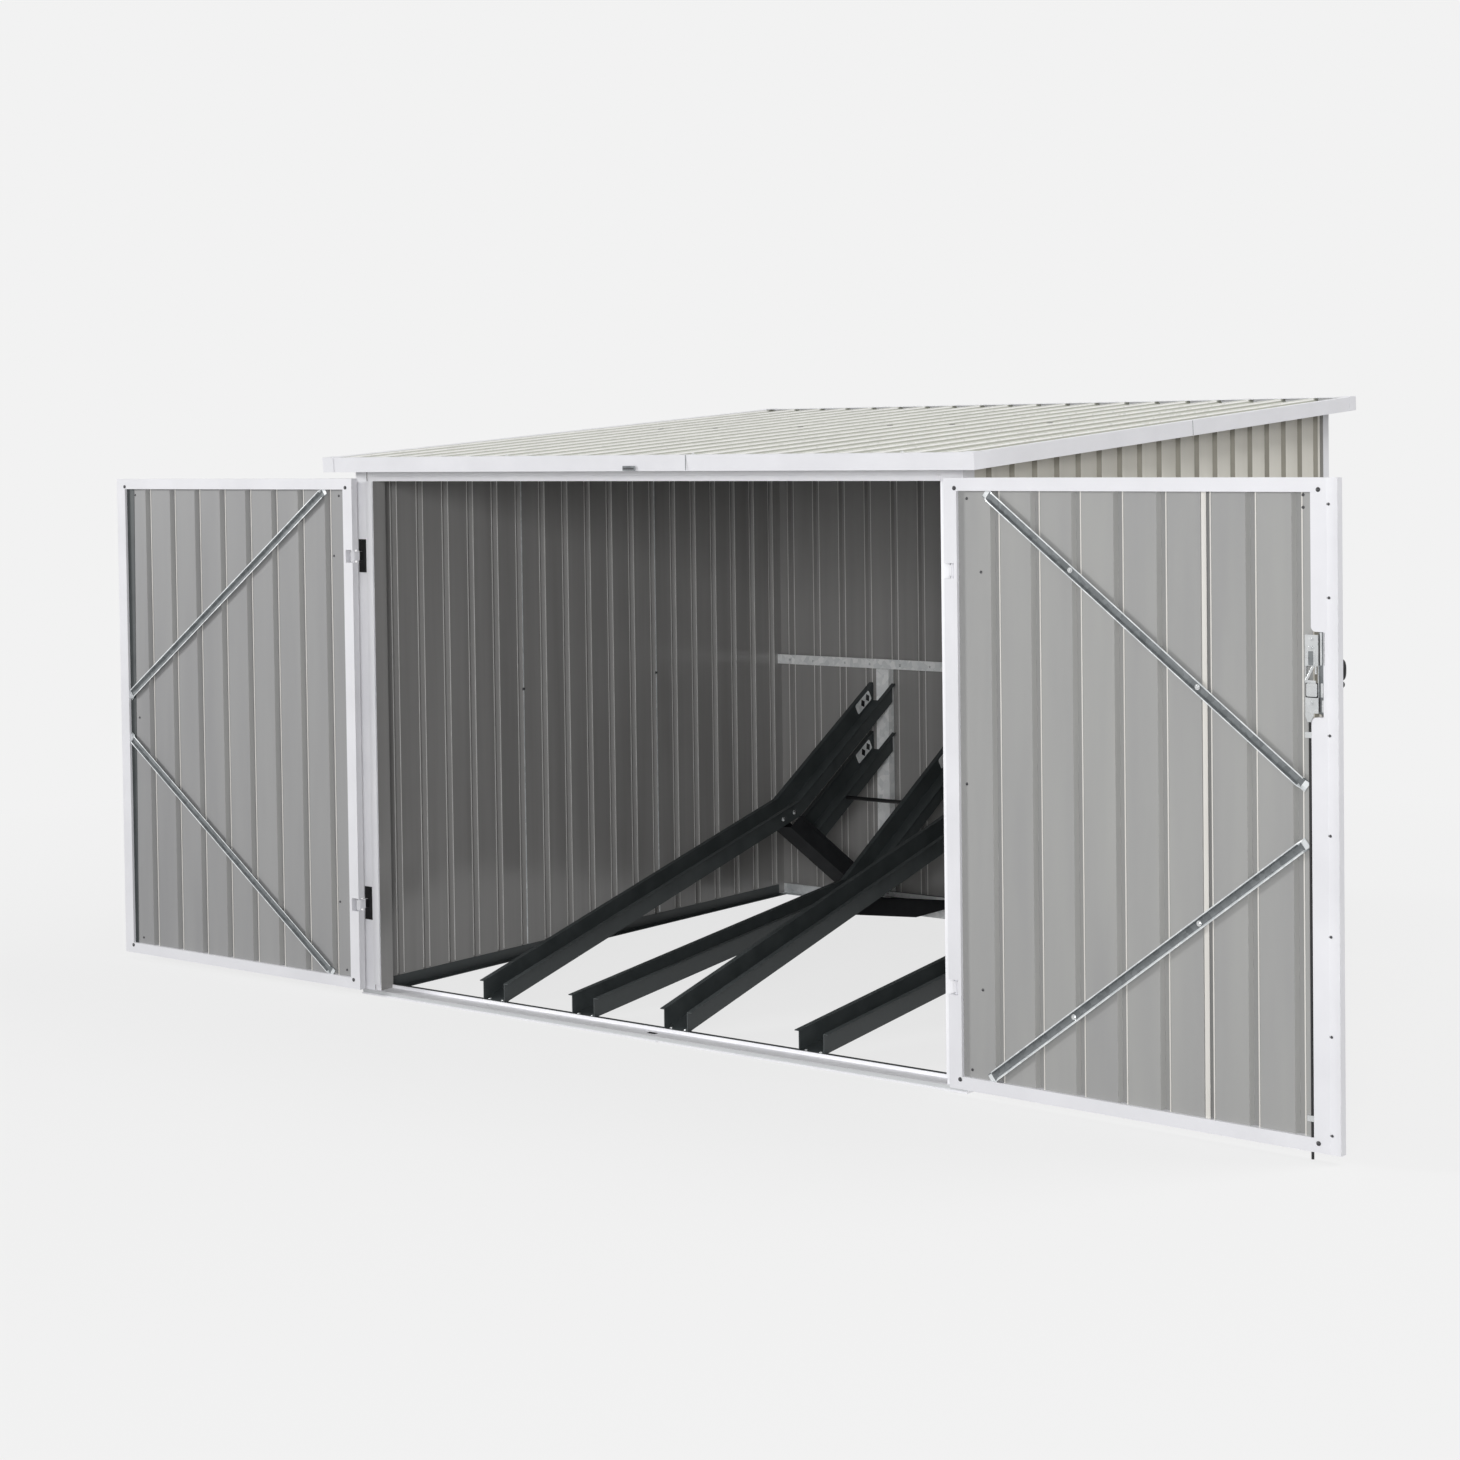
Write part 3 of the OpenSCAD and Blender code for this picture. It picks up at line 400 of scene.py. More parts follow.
def rivetHead(place, axis, r):
    # a low dome: radius and height follow the cosine and sine of a quarter turn
    t = np.linspace(0, math.pi / 2, 5)
    radii = np.concatenate([[1.0], np.cos(t)[:-1], [0.05]]) * r
    heights = np.concatenate([[-0.1], 0.05 + 0.45 * np.sin(t)]) * r
    return turned(place, axis, radii, heights)


def boltHead(place, axis, r):
    # a hexagon head with a chamfered top on a round washer, the washer drawn as its own form
    washer = turned(place, axis, np.array([1.7, 1.7]) * r, np.array([-0.1, 0.22]) * r)
    head = turned(place, axis, np.array([1.1, 1.1, 0.95, 0.06]) * r, np.array([0.2, 0.85, 0.98, 1.0]) * r, sides=6)
    return [washer, head]


def roundedOutline(width, height, radius, steps):
    # the outline of a rectangle with quarter-circle corners, anticlockwise
    a = np.linspace(0, math.pi / 2, steps)
    corners = []
    for k, (sx, sy) in enumerate(((1, 1), (-1, 1), (-1, -1), (1, -1))):
        b = a + k * math.pi / 2
        centre = np.array([sx * (width / 2 - radius), sy * (height / 2 - radius)])
        corners.append(centre + radius * np.stack([np.cos(b), np.sin(b)], -1))
    return np.concatenate(corners)


def slab(outline, place, across, up, out, thickness, edge=0.0005):
    # a flat plate: its outline carried along the out direction, drawn in at both faces for a broken edge
    out, across, up = (np.asarray(d, float) for d in (out, across, up))
    middle = outline.mean(0)
    size = np.abs(outline - middle).max(0)
    shrink = (size - edge) / size
    rings = []
    for depth, scale in ((0, shrink), (edge, 1.0), (thickness - edge, 1.0), (thickness, shrink)):
        flat = middle + (outline - middle) * scale
        rings.append(np.asarray(place) + flat[:, :1] * across + flat[:, 1:] * up + depth * out)
    return np.stack(rings)


def carry(outline, start, end, across, out):
    # an outline carried from one point to another along a straight line
    outline, across, out = np.asarray(outline, float), np.asarray(across, float), np.asarray(out, float)
    return np.stack([np.asarray(p, float) + outline[:, :1] * across + outline[:, 1:] * out for p in (start, end)])


def flatBar(start, end, out, width, height, edge=0.0004):
    # a rectangle with rounded corners carried along a straight line that lies on a surface
    start, end, out = (np.asarray(p, float) for p in (start, end, out))
    along = (end - start) / np.linalg.norm(end - start)
    outline = roundedOutline(width, height, min(edge, height * 0.45), 3) + (0, height / 2)
    return carry(outline, start, end, np.cross(out, along), out)


def leafBar(side, x, lift, width, height, edge=0.0004, ends=sheetEnds):
    # a flat bar up a leaf, at x from its hinge and on the surface that is lift from the hinge's plane
    return flatBar(*(doorPoint(side, (x, lift, z)) for z in ends), doorAxes(side)[1], width, height, edge)


def wallBar(sign, y, low, high, width, height, edge):
    # a flat bar up the inner face of the left wall, for sign -1, or of the right one
    x = sign * (shed["innerX"] + seat)
    return flatBar((x, y, low), (x, y, high), (-sign, 0, 0), width, height, edge)


# braces of the doors: bright troughs with flattened ends that are tucked behind the frames
brace = {
    "foot": 0.0075, "lip": 0.0115, "lipEdge": 0.0006, "low": 0.0004, "height": 0.0072, "wall": 0.0014, "rim": 0.0026,
    "flat": 0.02, "spread": 0.004, "start": 0.090, "tuck": 0.004, "split": 0.112,
    "end": {"left": 0.9075, "right": 0.8665}, "brightEnds": (0.064, 0.643), "bottomDepth": 0.003,
}
doorMiddle = sum(sheetEnds) / 2


def braceRings(side, sign):
    # a trough's outline carried along a straight line; its height eases to the wall's thickness at both ends
    near = np.array([brace["start"], sheetEnds[1] - doorMiddle])
    far = np.array([brace["end"][side], brace["split"] / 2])
    along = (far - near) / np.linalg.norm(far - near)
    near = near + along * brace["tuck"]
    length = np.linalg.norm(far - near)
    f, w, rim = brace["flat"], brace["wall"], brace["rim"]
    s = np.concatenate([
        np.linspace(0, f, 9), np.linspace(f, length - f, 12)[1:-1], np.linspace(length - f, length, 9)])
    ease = np.clip(np.minimum(s, length - s) / f * 1.6 - 0.6, 0, 1)
    ease = ease * ease * (3 - 2 * ease)
    h = w + (brace["height"] - w) * ease
    foot = brace["foot"] + brace["spread"] * (1 - ease)
    lip = foot + (brace["lip"] - brace["foot"]) * ease + brace["lipEdge"]
    # across: foot, lip, lip's inner edge, inner foot and the same on the other side
    px = np.stack([-foot, foot, lip, lip - rim, foot - w * 0.7, w * 0.7 - foot, rim - lip, -lip], -1)
    py = np.stack([h * 0, h * 0, h, h, h * 0 + w, h * 0 + w, h, h], -1)
    x = near[0] + along[0] * s[:, None] + along[1] * px
    z = doorMiddle + sign * (near[1] + along[1] * s[:, None] - along[0] * px)
    return doorPoint(side, np.stack([x, door["sheet"] + brace["low"] + py, z], -1))


for side in ("left", "right"):
    piece = pieceOf(side + "BraceChannels", [braceRings(side, sign) for sign in (1, -1)], zincCoat,
                    side + "_door")
    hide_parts(side + "_door_braces")
    piece.data.materials.append(dullZincAndShade)
    out = doorAxes(side)[1]
    base = doorPoint(side, [0, door["sheet"] + brace["low"], 0])

    def shadedPart(m, n):
        # painted shade: dull dark zinc at the bottom and on the side turned from the light; bright zinc on the other
        # side, the rims and the ends
        span = np.abs(m[:, 2] - doorMiddle)
        inEnds = (span < brace["brightEnds"][0]) | (span > brace["brightEnds"][1])
        bottom = (n @ out > 0.9) & ((m - base) @ out < brace["bottomDepth"])
        turnedAway = (n @ out < 0.9) & (n[:, 0] > 0.1)
        return (bottom | turnedAway) & ~inEnds

    pickFinishes(piece.data, shadedPart)
print("braces made")

# screws of the doors' frames, rivets of their sheets, bolts through the right brace: x from the hinge, and z
doorFixings = {
    "screwR": 0.0032, "rivetR": 0.0034, "boltR": 0.0036,
    "left": {
        "screws": ((0.9066, 1.3557), (0.0114, 1.354), (0.9066, 0.040), (0.0114, 0.042)),
        "rivets": ((0.871, 1.332), (0.066, 1.172), (0.870, 0.696), (0.044, 1.332), (0.066, 0.245), (0.871, 0.064),
                   (0.044, 0.064)),
    },
    "right": {
        "screws": ((0.0162, 1.355), (0.897, 1.354), (0.8895, 0.037), (0.0162, 0.040), (0.920, 1.325), (0.920, 1.138),
                   (0.920, 0.862), (0.920, 0.661), (0.920, 0.458), (0.920, 0.2565), (0.920, 0.057)),
        "rivets": ((0.044, 1.332), (0.080, 1.1705), (0.037, 0.700), (0.074, 0.2456), (0.860, 1.343), (0.860, 1.318),
                   (0.044, 0.064)),
    },
    "bolts": ((0.3105, 1.1795), (0.6176, 0.9440), (0.3105, 0.2165), (0.6176, 0.4520)),
}
for side in ("left", "right"):
    out = doorAxes(side)[1]
    for kind, head, radius, y in (("screws", screwHead, doorFixings["screwR"], door["inner"]),
                                  ("rivets", rivetHead, doorFixings["rivetR"], door["sheet"])):
        heads = [head(doorPoint(side, (x, y, z)), out, radius) for x, z in doorFixings[side][kind]]
        pieceOf(side + "Door" + kind.capitalize(), heads, darkZinc, side + "_door")
bolts = []
for x, z in doorFixings["bolts"]:
    place = doorPoint("right", (x, door["sheet"] + brace["low"] + brace["wall"], z))
    bolts += boltHead(place, doorAxes("right")[1], doorFixings["boltR"])
pieceOf("rightBraceBolts", bolts, boltZinc, "right_door")
# the right leaf's sheet is in two widths: the upper one's edge laps over as a strip painted pale, a painted highlight
# along the lap
lap = {"x": 0.6345, "width": 0.0115, "height": 0.0011}
strip = leafBar("right", lap["x"], door["sheet"], lap["width"], lap["height"])
pieceOf("rightSheetLap", [strip], doorEdgeHighlight, "right_door")
print("door fixings made")

# the lock: a pressed case with its bolts, a slanting link, the block that lifts the rod and a tapered tail
lock = {
    "back": 0.0073, "front": 0.0148, "plate": 0.0016, "left": 0.8665, "right": 0.8955, "low": 0.905, "high": 1.063,
    "stile": 0.0128, "boltR": 0.0030, "bolts": ((0.8800, 1.0545), (0.8790, 1.0375), (0.8795, 0.9255)),
    "tail": ((0.8665, 0.906), (0.8665, 0.900), (0.8712, 0.887), (0.8782, 0.887), (0.8850, 0.900), (0.8850, 0.906)),
}
ex, ey, ez = doorAxes("right")


def lockPlate(x0, x1, z0, z1, y, thickness, radius=0.0012):
    # a rounded rectangle between two x and two z of the right leaf, carried inwards from y
    outline = roundedOutline(x1 - x0, z1 - z0, radius, 4)
    return slab(outline, doorPoint("right", ((x0 + x1) / 2, y, (z0 + z1) / 2)), ex, ez, ey, thickness)


def lockBar(start, end, y, width, height):
    # a flat bar from one x and z of the right leaf to another, on the surface at y
    ends = (doorPoint("right", (x, y, z)) for x, z in (start, end))
    return flatBar(*ends, ey, width, height)


f, p, st = lock["front"], lock["plate"], lock["stile"]
works = [
    lockPlate(lock["left"], lock["right"], 1.000, lock["high"], f, p),  # the case above the link
    lockPlate(lock["left"], lock["right"], lock["low"], 0.9365, f, p),  # and below the block
    lockPlate(0.8715, 0.8885, 1.0005, 1.0330, f + p * 0.8, 0.0012),  # pressed panel
    lockBar((0.885, 1.001), (0.868, 0.969), f, 0.0055, 0.0018),  # slanting link
    lockBar((0.890, 1.001), (0.890, 0.984), f, 0.0035, 0.0016),
    lockBar((0.8665, 0.969), (0.890, 0.968), f, 0.006, 0.0016),
    lockPlate(0.8695, 0.8935, 0.9385, 0.9655, f + 0.0008, 0.0026, 0.0032),  # block that lifts the rod
    lockBar((0.8945, 0.908), (0.8945, 0.9365), f + 0.0012, 0.003, 0.0016),
    lockBar((0.9010, 1.002), (0.9010, 1.068), st, 0.0042, 0.0016),  # folds in the stile's cut-out
    lockBar((0.9080, 1.002), (0.9080, 1.068), st, 0.0036, 0.0022),
    lockBar((0.9030, 0.938), (0.9030, 0.966), st, 0.0048, 0.0020),
    lockBar((0.9060, 0.908), (0.9060, 0.932), st, 0.0080, 0.0014),
]
# the tail: a strip that narrows from the case to the rod
works.append(slab(np.array(lock["tail"]), doorPoint("right", (0, f + 0.0002, 0)), ex, ez, ey, 0.0014, fine))
for x, z in lock["bolts"]:
    works += boltHead(doorPoint("right", (x, f + p, z)), ey, lock["boltR"])
# side walls down to the sheet, with the rod's room between them
wall = roundedOutline(p, f - lock["back"] + 0.0004, 0.0004, 2)
for x in (lock["left"] + p / 2, lock["right"] - p / 2):
    ends = (doorPoint("right", (x, (lock["back"] + f) / 2, z)) for z in (lock["low"] + fine, lock["high"] - fine))
    works.append(carry(wall, *ends, ex, ey))
piece = pieceOf("lockWorks", works, latchZinc, "right_door")
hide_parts("lock_case")
# dark plates in the lock's gaps: painted shade between its parts
lockShadePlates = [
    lockPlate(0.8668, 0.8950, 0.9362, 0.9662, f - 0.0004, 0.0010),  # behind the block
    lockBar((0.8968, 0.908), (0.8968, 0.9365), st, 0.0022, 0.0010),  # beside the case
    lockBar((0.8966, 1.002), (0.8966, 1.064), st, 0.0020, 0.0010),
]
pieceOf("lockGapShade", lockShadePlates, blackCoat, "right_door")
# dull dark plates in the stile's cut-out and the panel's hollow: painted shade in these recesses
shades = [
    lockPlate(0.8955, 0.9108, 0.9035, 1.0755, 0.0120, 0.0008),  # the bottom of the stile's cut-out
    lockPlate(0.8745, 0.8855, 1.0015, 1.0300, f + p * 0.8 + 0.0009, 0.0006),  # the panel's hollow
]
pieceOf("lockShade", shades, dullZincAndShade, "right_door")
print("lock made")

# the outside handle: a boss, a waist and a grip that is longer upwards, with a lock barrel below
handle = {
    "x": 0.9275, "z": 0.983, "face": -0.0053, "sides": 28,
    "outMm": (0.0, 3.5, 5.0, 8.0, 11.0, 13.0, 16.0, 20.0, 22.2),
    "halfAcrossMm": (8.6, 9.2, 8.6, 6.6, 6.6, 8.6, 9.4, 9.0, 6.0),
    "halfUpMm": (13.0, 13.6, 13.0, 9.0, 9.0, 17.0, 22.0, 21.0, 15.0),
    "riseMm": (0.0, 0.0, 0.0, 1.0, 2.0, 6.0, 8.6, 8.6, 9.0),
    "barrelAt": (0.001, -0.0205), "barrelRadiiMm": (7.6, 8.0, 8.0, 6.8, 5.2),
    "barrelOutMm": (0.0, 1.0, 12.0, 16.0, 17.0),
}
outward, halfAcross, halfUp, rise, barrelRadii, barrelOut = (np.array(handle[k]) / 1000 for k in (
    "outMm", "halfAcrossMm", "halfUpMm", "riseMm", "barrelRadiiMm", "barrelOutMm"))
a = np.arange(handle["sides"]) * 2 * math.pi / handle["sides"]
# each ring is an oval with flattened sides: the cosine and sine each to the power 0.8
ca, sa = (np.sign(c) * np.abs(c) ** 0.8 for c in (np.cos(a), np.sin(a)))
x = handle["x"] + halfAcross[:, None] * ca
y = handle["face"] - np.broadcast_to(outward[:, None], x.shape)
z = handle["z"] + rise[:, None] + halfUp[:, None] * sa
grip = doorPoint("right", np.stack([x, y, z], -1))
dx, dz = handle["barrelAt"]
place = doorPoint("right", (handle["x"] + dx, handle["face"], handle["z"] + dz))
barrel = turned(place, -ey, barrelRadii, barrelOut, 20)
piece = pieceOf("handleGrip", [grip, barrel], blackCoat, "handle")
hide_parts("door_handle")
print("handle made")

# folded edges that stand on the white frame: the lock stile's outer strip, the jambs' and the header's
folds = {
    "seat": 0.0002, "stile": (0.9160, 0.9393), "stileInset": 0.0005, "stileFold": (0.0011, 0.0005),
    "jamb": (0.8955, 0.9185), "jambZ": (0.027, 1.3702), "jambFold": (0.0012, 0.0006),
    "headerZ": (1.3704, 1.3835), "headerHalf": 0.8945, "headerFold": (0.0022, 0.0008),
}
x0, x1 = folds["stile"]
ends = (door["low"] + folds["stileInset"], door["high"] - folds["stileInset"])
strip = leafBar("right", (x0 + x1) / 2, door["inner"] - folds["seat"], x1 - x0, *folds["stileFold"], ends)
pieceOf("stileFold", [strip], whiteCoat, "right_door")
shapes = []
x0, x1 = folds["jamb"]
for sign in (-1, 1):
    ends = [(sign * (x0 + x1) / 2, shed["frontY"] + folds["seat"], z) for z in folds["jambZ"]]
    shapes.append(flatBar(*ends, (0, -1, 0), x1 - x0, *folds["jambFold"]))
z0, z1 = folds["headerZ"]
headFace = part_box("door_header")[0][1]
ends = [(sign * folds["headerHalf"], headFace + folds["seat"], (z0 + z1) / 2) for sign in (-1, 1)]
shapes.append(flatBar(*ends, (0, -1, 0), z1 - z0, *folds["headerFold"]))
# the folds take the white that is painted lighter against the shade
pieceOf("frameFolds", shapes, whitePaintedLight, "shelter")

# the plates' black coat runs a little way up the side of each hinge block, behind the leaf
y0, y1 = hinge["y"]
outline = roundedOutline(y1 - y0, hinge["height"], hinge["corner"], 2)
coats = [slab(outline, (sign * hinge["x"], (y0 + y1) / 2, z), (0, 1, 0), (0, 0, 1), (-sign, 0, 0),
              hinge["thickness"], hinge["edge"]) for sign in (-1, 1) for z in hinge["z"]]
pieceOf("hingeCoats", coats, blackCoat, "shelter")

# a blank plate on the front trim: a grey holder with a darker insert
blank = {"x": 0.0383, "z": 1.4022, "lift": 0.00015, "width": 0.040, "height": 0.0115, "corner": 0.001,
         "thickness": 0.0014, "insertAt": (-0.001, -0.0011, -0.0008), "insertWidth": 0.033, "insertShare": 0.36,
         "insertCorner": 0.0008, "insertThickness": 0.0006}
place = np.array([blank["x"], shed["roofFrontY"] - blank["lift"], blank["z"]])
across, up, out = (1, 0, 0), (0, 0, 1), (0, -1, 0)
outline = roundedOutline(blank["width"], blank["height"], blank["corner"], 4)
pieceOf("blankPlate", [slab(outline, place, across, up, out, blank["thickness"])], dullZincAndShade, "shelter")
outline = roundedOutline(blank["insertWidth"], blank["height"] * blank["insertShare"], blank["insertCorner"], 4)
insert = slab(outline, place + blank["insertAt"], across, up, out, blank["insertThickness"], fine)
pieceOf("blankPlateInsert", [insert], darkZinc, "shelter")
print("folds and blank plate made")

# screws in the side walls at the sheets' joints, rivets along the girt, and outside the screws that hold the rear
# sheets to it, in the flats between ribs
wallFixings = {
    "jointY": (0.619, 1.219), "jointZ": 0.763, "jointR": 0.00336,
    "girtX": (0.8945, 0.8035, 0.679, 0.583, 0.470, 0.358, 0.215, 0.072), "girtR": 0.0042,
    "outerX": np.arange(-8.5, 9, 2.0) * shed["ribPitch"], "outerFlat": 0.001, "outerR": 0.0040,
}
heads = [screwHead((sign * shed["innerX"], y, wallFixings["jointZ"]), (-sign, 0, 0), wallFixings["jointR"])
         for y in wallFixings["jointY"] for sign in (-1, 1)]
pieceOf("wallScrews", heads, darkZinc, "shelter")
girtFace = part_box("rear_girt")[0][1]
heads = [rivetHead((sign * x, girtFace, shed["girtZ"]), (0, -1, 0), wallFixings["girtR"])
         for x in wallFixings["girtX"] for sign in (-1, 1)]
pieceOf("girtRivets", heads, latchZinc, "shelter")
outerY = shed["innerY"] + wallFixings["outerFlat"]
heads = [screwHead((x, outerY, shed["girtZ"]), (0, 1, 0), wallFixings["outerR"]) for x in wallFixings["outerX"]]
pieceOf("outerScrews", heads, latchZinc, "shelter")

# the edge of each lapped sheet inside: a thin bright bead down the joint
beads = {"z": (0.032, 1.40), "bead": (0.0035, 0.0012, 0.0005)}
shapes = [wallBar(sign, y, *beads["z"], *beads["bead"]) for y in wallFixings["jointY"] for sign in (-1, 1)]
pieceOf("sheetLaps", shapes, zincCoat, "shelter")
print("wall fixings made")

# the bends of the ribs catch the light as fine bright lines: inside the walls at both bends, on the doors beside each
# rib; each line's width and height, and how far along its sheet the lines go
bends = {
    "walls": (0.0026, 0.0006), "rear": (0.0020, 0.0006), "doors": (0.0030, 0.0007),
    "aside": {"left": -0.0122, "right": 0.0122},
    "low": 0.034, "wallHigh": 1.405, "wallRise": 0.066, "rearHigh": 1.505,
    "wallSpan": (0.04, 1.82), "rearSpan": 0.93, "doorSpan": (0.04, 0.87),
}


def crests(name, along, out):
    # where the ribs of a sheet are along a direction, from its points that lie farthest out, and how far out that is
    mesh = nodes[name].data
    points = np.empty(len(mesh.vertices) * 3, np.float32)
    mesh.vertices.foreach_get("co", points)
    points = points.reshape(-1, 3)
    reach = points @ np.asarray(out)
    spots = np.unique(np.round(points[reach > reach.max() - 0.0004] @ np.asarray(along), 4))
    groups = np.split(spots, np.flatnonzero(np.diff(spots) > 0.03) + 1)
    return np.array([(g[0] + g[-1]) / 2 for g in groups]), reach.max()


def bothBends(middles):
    # the two bends of each rib, half its foot to either side of its middle
    return (middles[:, None] + np.array([-0.5, 0.5]) * shed["ribFoot"]).ravel()


lines = []
for name, sign in (("left_wall", -1), ("right_wall", 1)):
    for y in bothBends(crests(name, (0, 1, 0), (sign, 0, 0))[0]):
        if bends["wallSpan"][0] < y < bends["wallSpan"][1]:
            top = bends["wallHigh"] + bends["wallRise"] * y
            lines.append(wallBar(sign, y, bends["low"], top, *bends["walls"], fine))
for x in bothBends(crests("rear_wall", (1, 0, 0), (0, 1, 0))[0]):
    if abs(x) < bends["rearSpan"]:
        ends = [(x, shed["innerY"] + seat, z) for z in (bends["low"], bends["rearHigh"])]
        lines.append(flatBar(*ends, (0, -1, 0), *bends["rear"], fine))
pieceOf("wallBends", lines, bendHighlight, "shelter")
for side, aside in bends["aside"].items():
    toEdge, inward, upward = doorAxes(side)
    ribX = crests(side + "_door_sheet", toEdge, -inward)[0] - doorPoint(side, (0, 0, 0)) @ toEdge
    lines = [leafBar(side, x, door["sheet"], *bends["doors"], fine) for x in ribX + aside
             if bends["doorSpan"][0] < x < bends["doorSpan"][1]]
    pieceOf(side + "DoorBends", lines, doorEdgeHighlight, side + "_door")
# a dark strip on the left leaf's sheet beside the free stile, wider at the top: painted shadow of the stile
stileShadow = {"top": 0.8740, "bottom": 0.8930, "stile": 0.9052, "thickness": 0.0009}
z0, z1 = sheetEnds
outline = np.array([[stileShadow["stile"], z0], [stileShadow["stile"], z1], [stileShadow["top"], z1], [stileShadow["bottom"], z0]])
toEdge, inward, upward = doorAxes("left")
place = doorPoint("left", (0, door["sheet"] - seat, 0))
strip = slab(outline, place, toEdge, upward, inward, stileShadow["thickness"], fine)
pieceOf("leftStilePaintedShadow", [strip], anthraciteCoat, "left_door")
print("bends made")

# the racks' fixings: two screws at each rail's front end, bolts through its web and its sides near the kink
rack = {
    "railX": (-0.530, -0.225, 0.075, 0.485), "slope": (14.1, 5.9, 14.1, 5.9), "endY": (1.335, 1.246, 1.335, 1.246),
    "frontY": 0.0292, "footZ": 0.018, "web": 0.002, "halfInside": 0.035, "halfOutside": 0.037,
    "screwY": 0.0385, "screwR": 0.0034, "aside": 0.022, "boltR": 0.0042, "webBack": 0.045, "sideBack": (0.030, 0.085),
    "sideUp": 0.020,
}


def railTop(i, y):
    # the upper side of a rail's web: straight up the slope from the foot
    t = math.radians(rack["slope"][i])
    return rack["footZ"] + (y - rack["frontY"]) * math.tan(t) + rack["web"] / math.cos(t)


bolts = []
for i, (x, slope, endY) in enumerate(zip(rack["railX"], rack["slope"], rack["endY"])):
    t = math.radians(slope)
    normal = (0, -math.sin(t), math.cos(t))
    for sign in (-1, 1):
        at, y = x + sign * rack["aside"], endY - rack["webBack"]
        bolts.append(screwHead((at, rack["screwY"], railTop(i, rack["screwY"])), normal, rack["screwR"]))
        bolts += boltHead((at, y, railTop(i, y)), normal, rack["boltR"])
        for back in rack["sideBack"]:
            place = (x + sign * rack["halfOutside"], endY - back, railTop(i, endY - back) + rack["sideUp"])
            bolts += boltHead(place, (sign, 0, 0), rack["boltR"])
pieceOf("railBolts", bolts, boltZinc, "shelter")

# bright shoes inside the upper ends of the guides, each with two dark diamonds: painted shade on the shoe's facets
shoe = {
    "length": 0.085, "height": 0.034, "corner": 0.006, "thickness": 0.0012, "above": 0.026, "inset": 0.006,
    "slope": 31.0, "endY": 1.829, "diamond": (0.011, 0.0143), "markAt": (0.025, -0.005), "markThickness": 0.0008,
    "guides": ((-0.530, 0.6452), (0.075, 0.6452), (-0.530, 0.492), (0.075, 0.492), (-0.225, 0.4963), (0.485, 0.4963)),
}
t = math.radians(shoe["slope"])
along, normal = np.array([0, math.cos(t), math.sin(t)]), np.array([0, -math.sin(t), math.cos(t)])
plate = roundedOutline(shoe["length"], shoe["height"], shoe["corner"], 4)
diamond = np.array([[1, 0], [0, 1], [-1, 0], [0, -1]]) * shoe["diamond"]
shoes, marks = [], []
for x, z in shoe["guides"]:
    for sign in (-1, 1):
        end = np.array([x + sign * (rack["halfInside"] - seat), shoe["endY"], z]) + normal * shoe["above"]
        inward = np.array([-sign, 0, 0])
        middle = end - along * (shoe["length"] / 2 + shoe["inset"])
        shoes.append(slab(plate, middle, along, normal, inward, shoe["thickness"]))
        for at in shoe["markAt"]:
            place = middle + along * at + inward * shoe["thickness"] * 0.9
            marks.append(slab(diamond, place, along, normal, inward, shoe["markThickness"], fine))
pieceOf("guideShoes", shoes, paleZincAndSheen, "shelter")
pieceOf("shoeFacetShade", marks, blackCoat, "shelter")
print("rack fixings made")

# roof: screws behind the front edge, painted highlights along the edges of each rib, the mark where the rows of
# sheets lap on some ribs, and the trims' joints
roof = {
    "screwX": (-0.388, 0.212, 0.812), "screwU": 0.030, "screwLift": 0.0012, "screwR": 0.0030,
    "line": (0.0044, 0.0005), "lineAside": 0.0079, "lineDrop": 0.0027, "lineInset": 0.030,
    "lapRibs": (3, 5, 8, 11, 13, 16), "lapU": 1.035, "lapHalf": 0.0062, "lapMark": (0.012, 0.0010, 0.0003),
    "joint": (0.0018, 0.0004, 0.0001), "frontJointX": 0.2130, "frontJointZ": (1.3965, 1.4335),
    "sideJoint": 0.515, "sideJointV": (-0.037, 0.0),
}
up = roofPoint(0, 0, 1) - roofPoint(0, 0, 0)
heads = [screwHead(roofPoint(x, roof["screwU"], roof["screwLift"]), up, roof["screwR"]) for x in roof["screwX"]]
pieceOf("roofScrews", heads, latchZinc, "shelter")
ribX, crest = crests("roof_front_sheets", (1, 0, 0), up)
crest -= roofPoint(0, 0, 0) @ up
slant = np.array([shed["ribHeight"], 0, 0]) + up * (shed["ribFoot"] - shed["ribCrest"]) / 2
slant /= np.linalg.norm(slant)
span = np.array([roof["lineInset"], roofLength - roof["lineInset"]])
lines = [flatBar(*roofPoint(x + sign * roof["lineAside"], span, crest - roof["lineDrop"] - seat),
                 slant * (sign, 1, 1), *roof["line"], fine) for x in ribX for sign in (-1, 1)]
pieceOf("roofRibEdges", lines, bendHighlight, "shelter")
across = np.array([-1, 1]) * roof["lapHalf"]
marks = [flatBar(*roofPoint(x + across, roof["lapU"], crest - seat), up, *roof["lapMark"])
         for x in ribX[list(roof["lapRibs"])]]
pieceOf("roofLapMarks", marks, darkZinc, "shelter")
ends = [(roof["frontJointX"], shed["roofFrontY"], z) for z in roof["frontJointZ"]]
joints = [flatBar(*ends, (0, -1, 0), *roof["joint"])]
for sign in (-1, 1):
    ends = roofPoint(sign * shed["roofHalfWidth"], roofLength * roof["sideJoint"], np.array(roof["sideJointV"]))
    joints.append(flatBar(*ends, (sign, 0, 0), *roof["joint"]))
pieceOf("trimJoints", joints, dullZincAndShade, "shelter")
print("roof details made")

# lit paper near the shelter, which keeps the shadow, fading to the backdrop's tone further out
stageLook = {"back": "#f2f2f2", "worldLight": 0.45, "shadowShare": 0.15, "floorTone": "#b4b4b4", "fade": (2.0, 5.0),
             "floorHalf": 60, "floorPoints": 9, "floorZ": -0.0005}


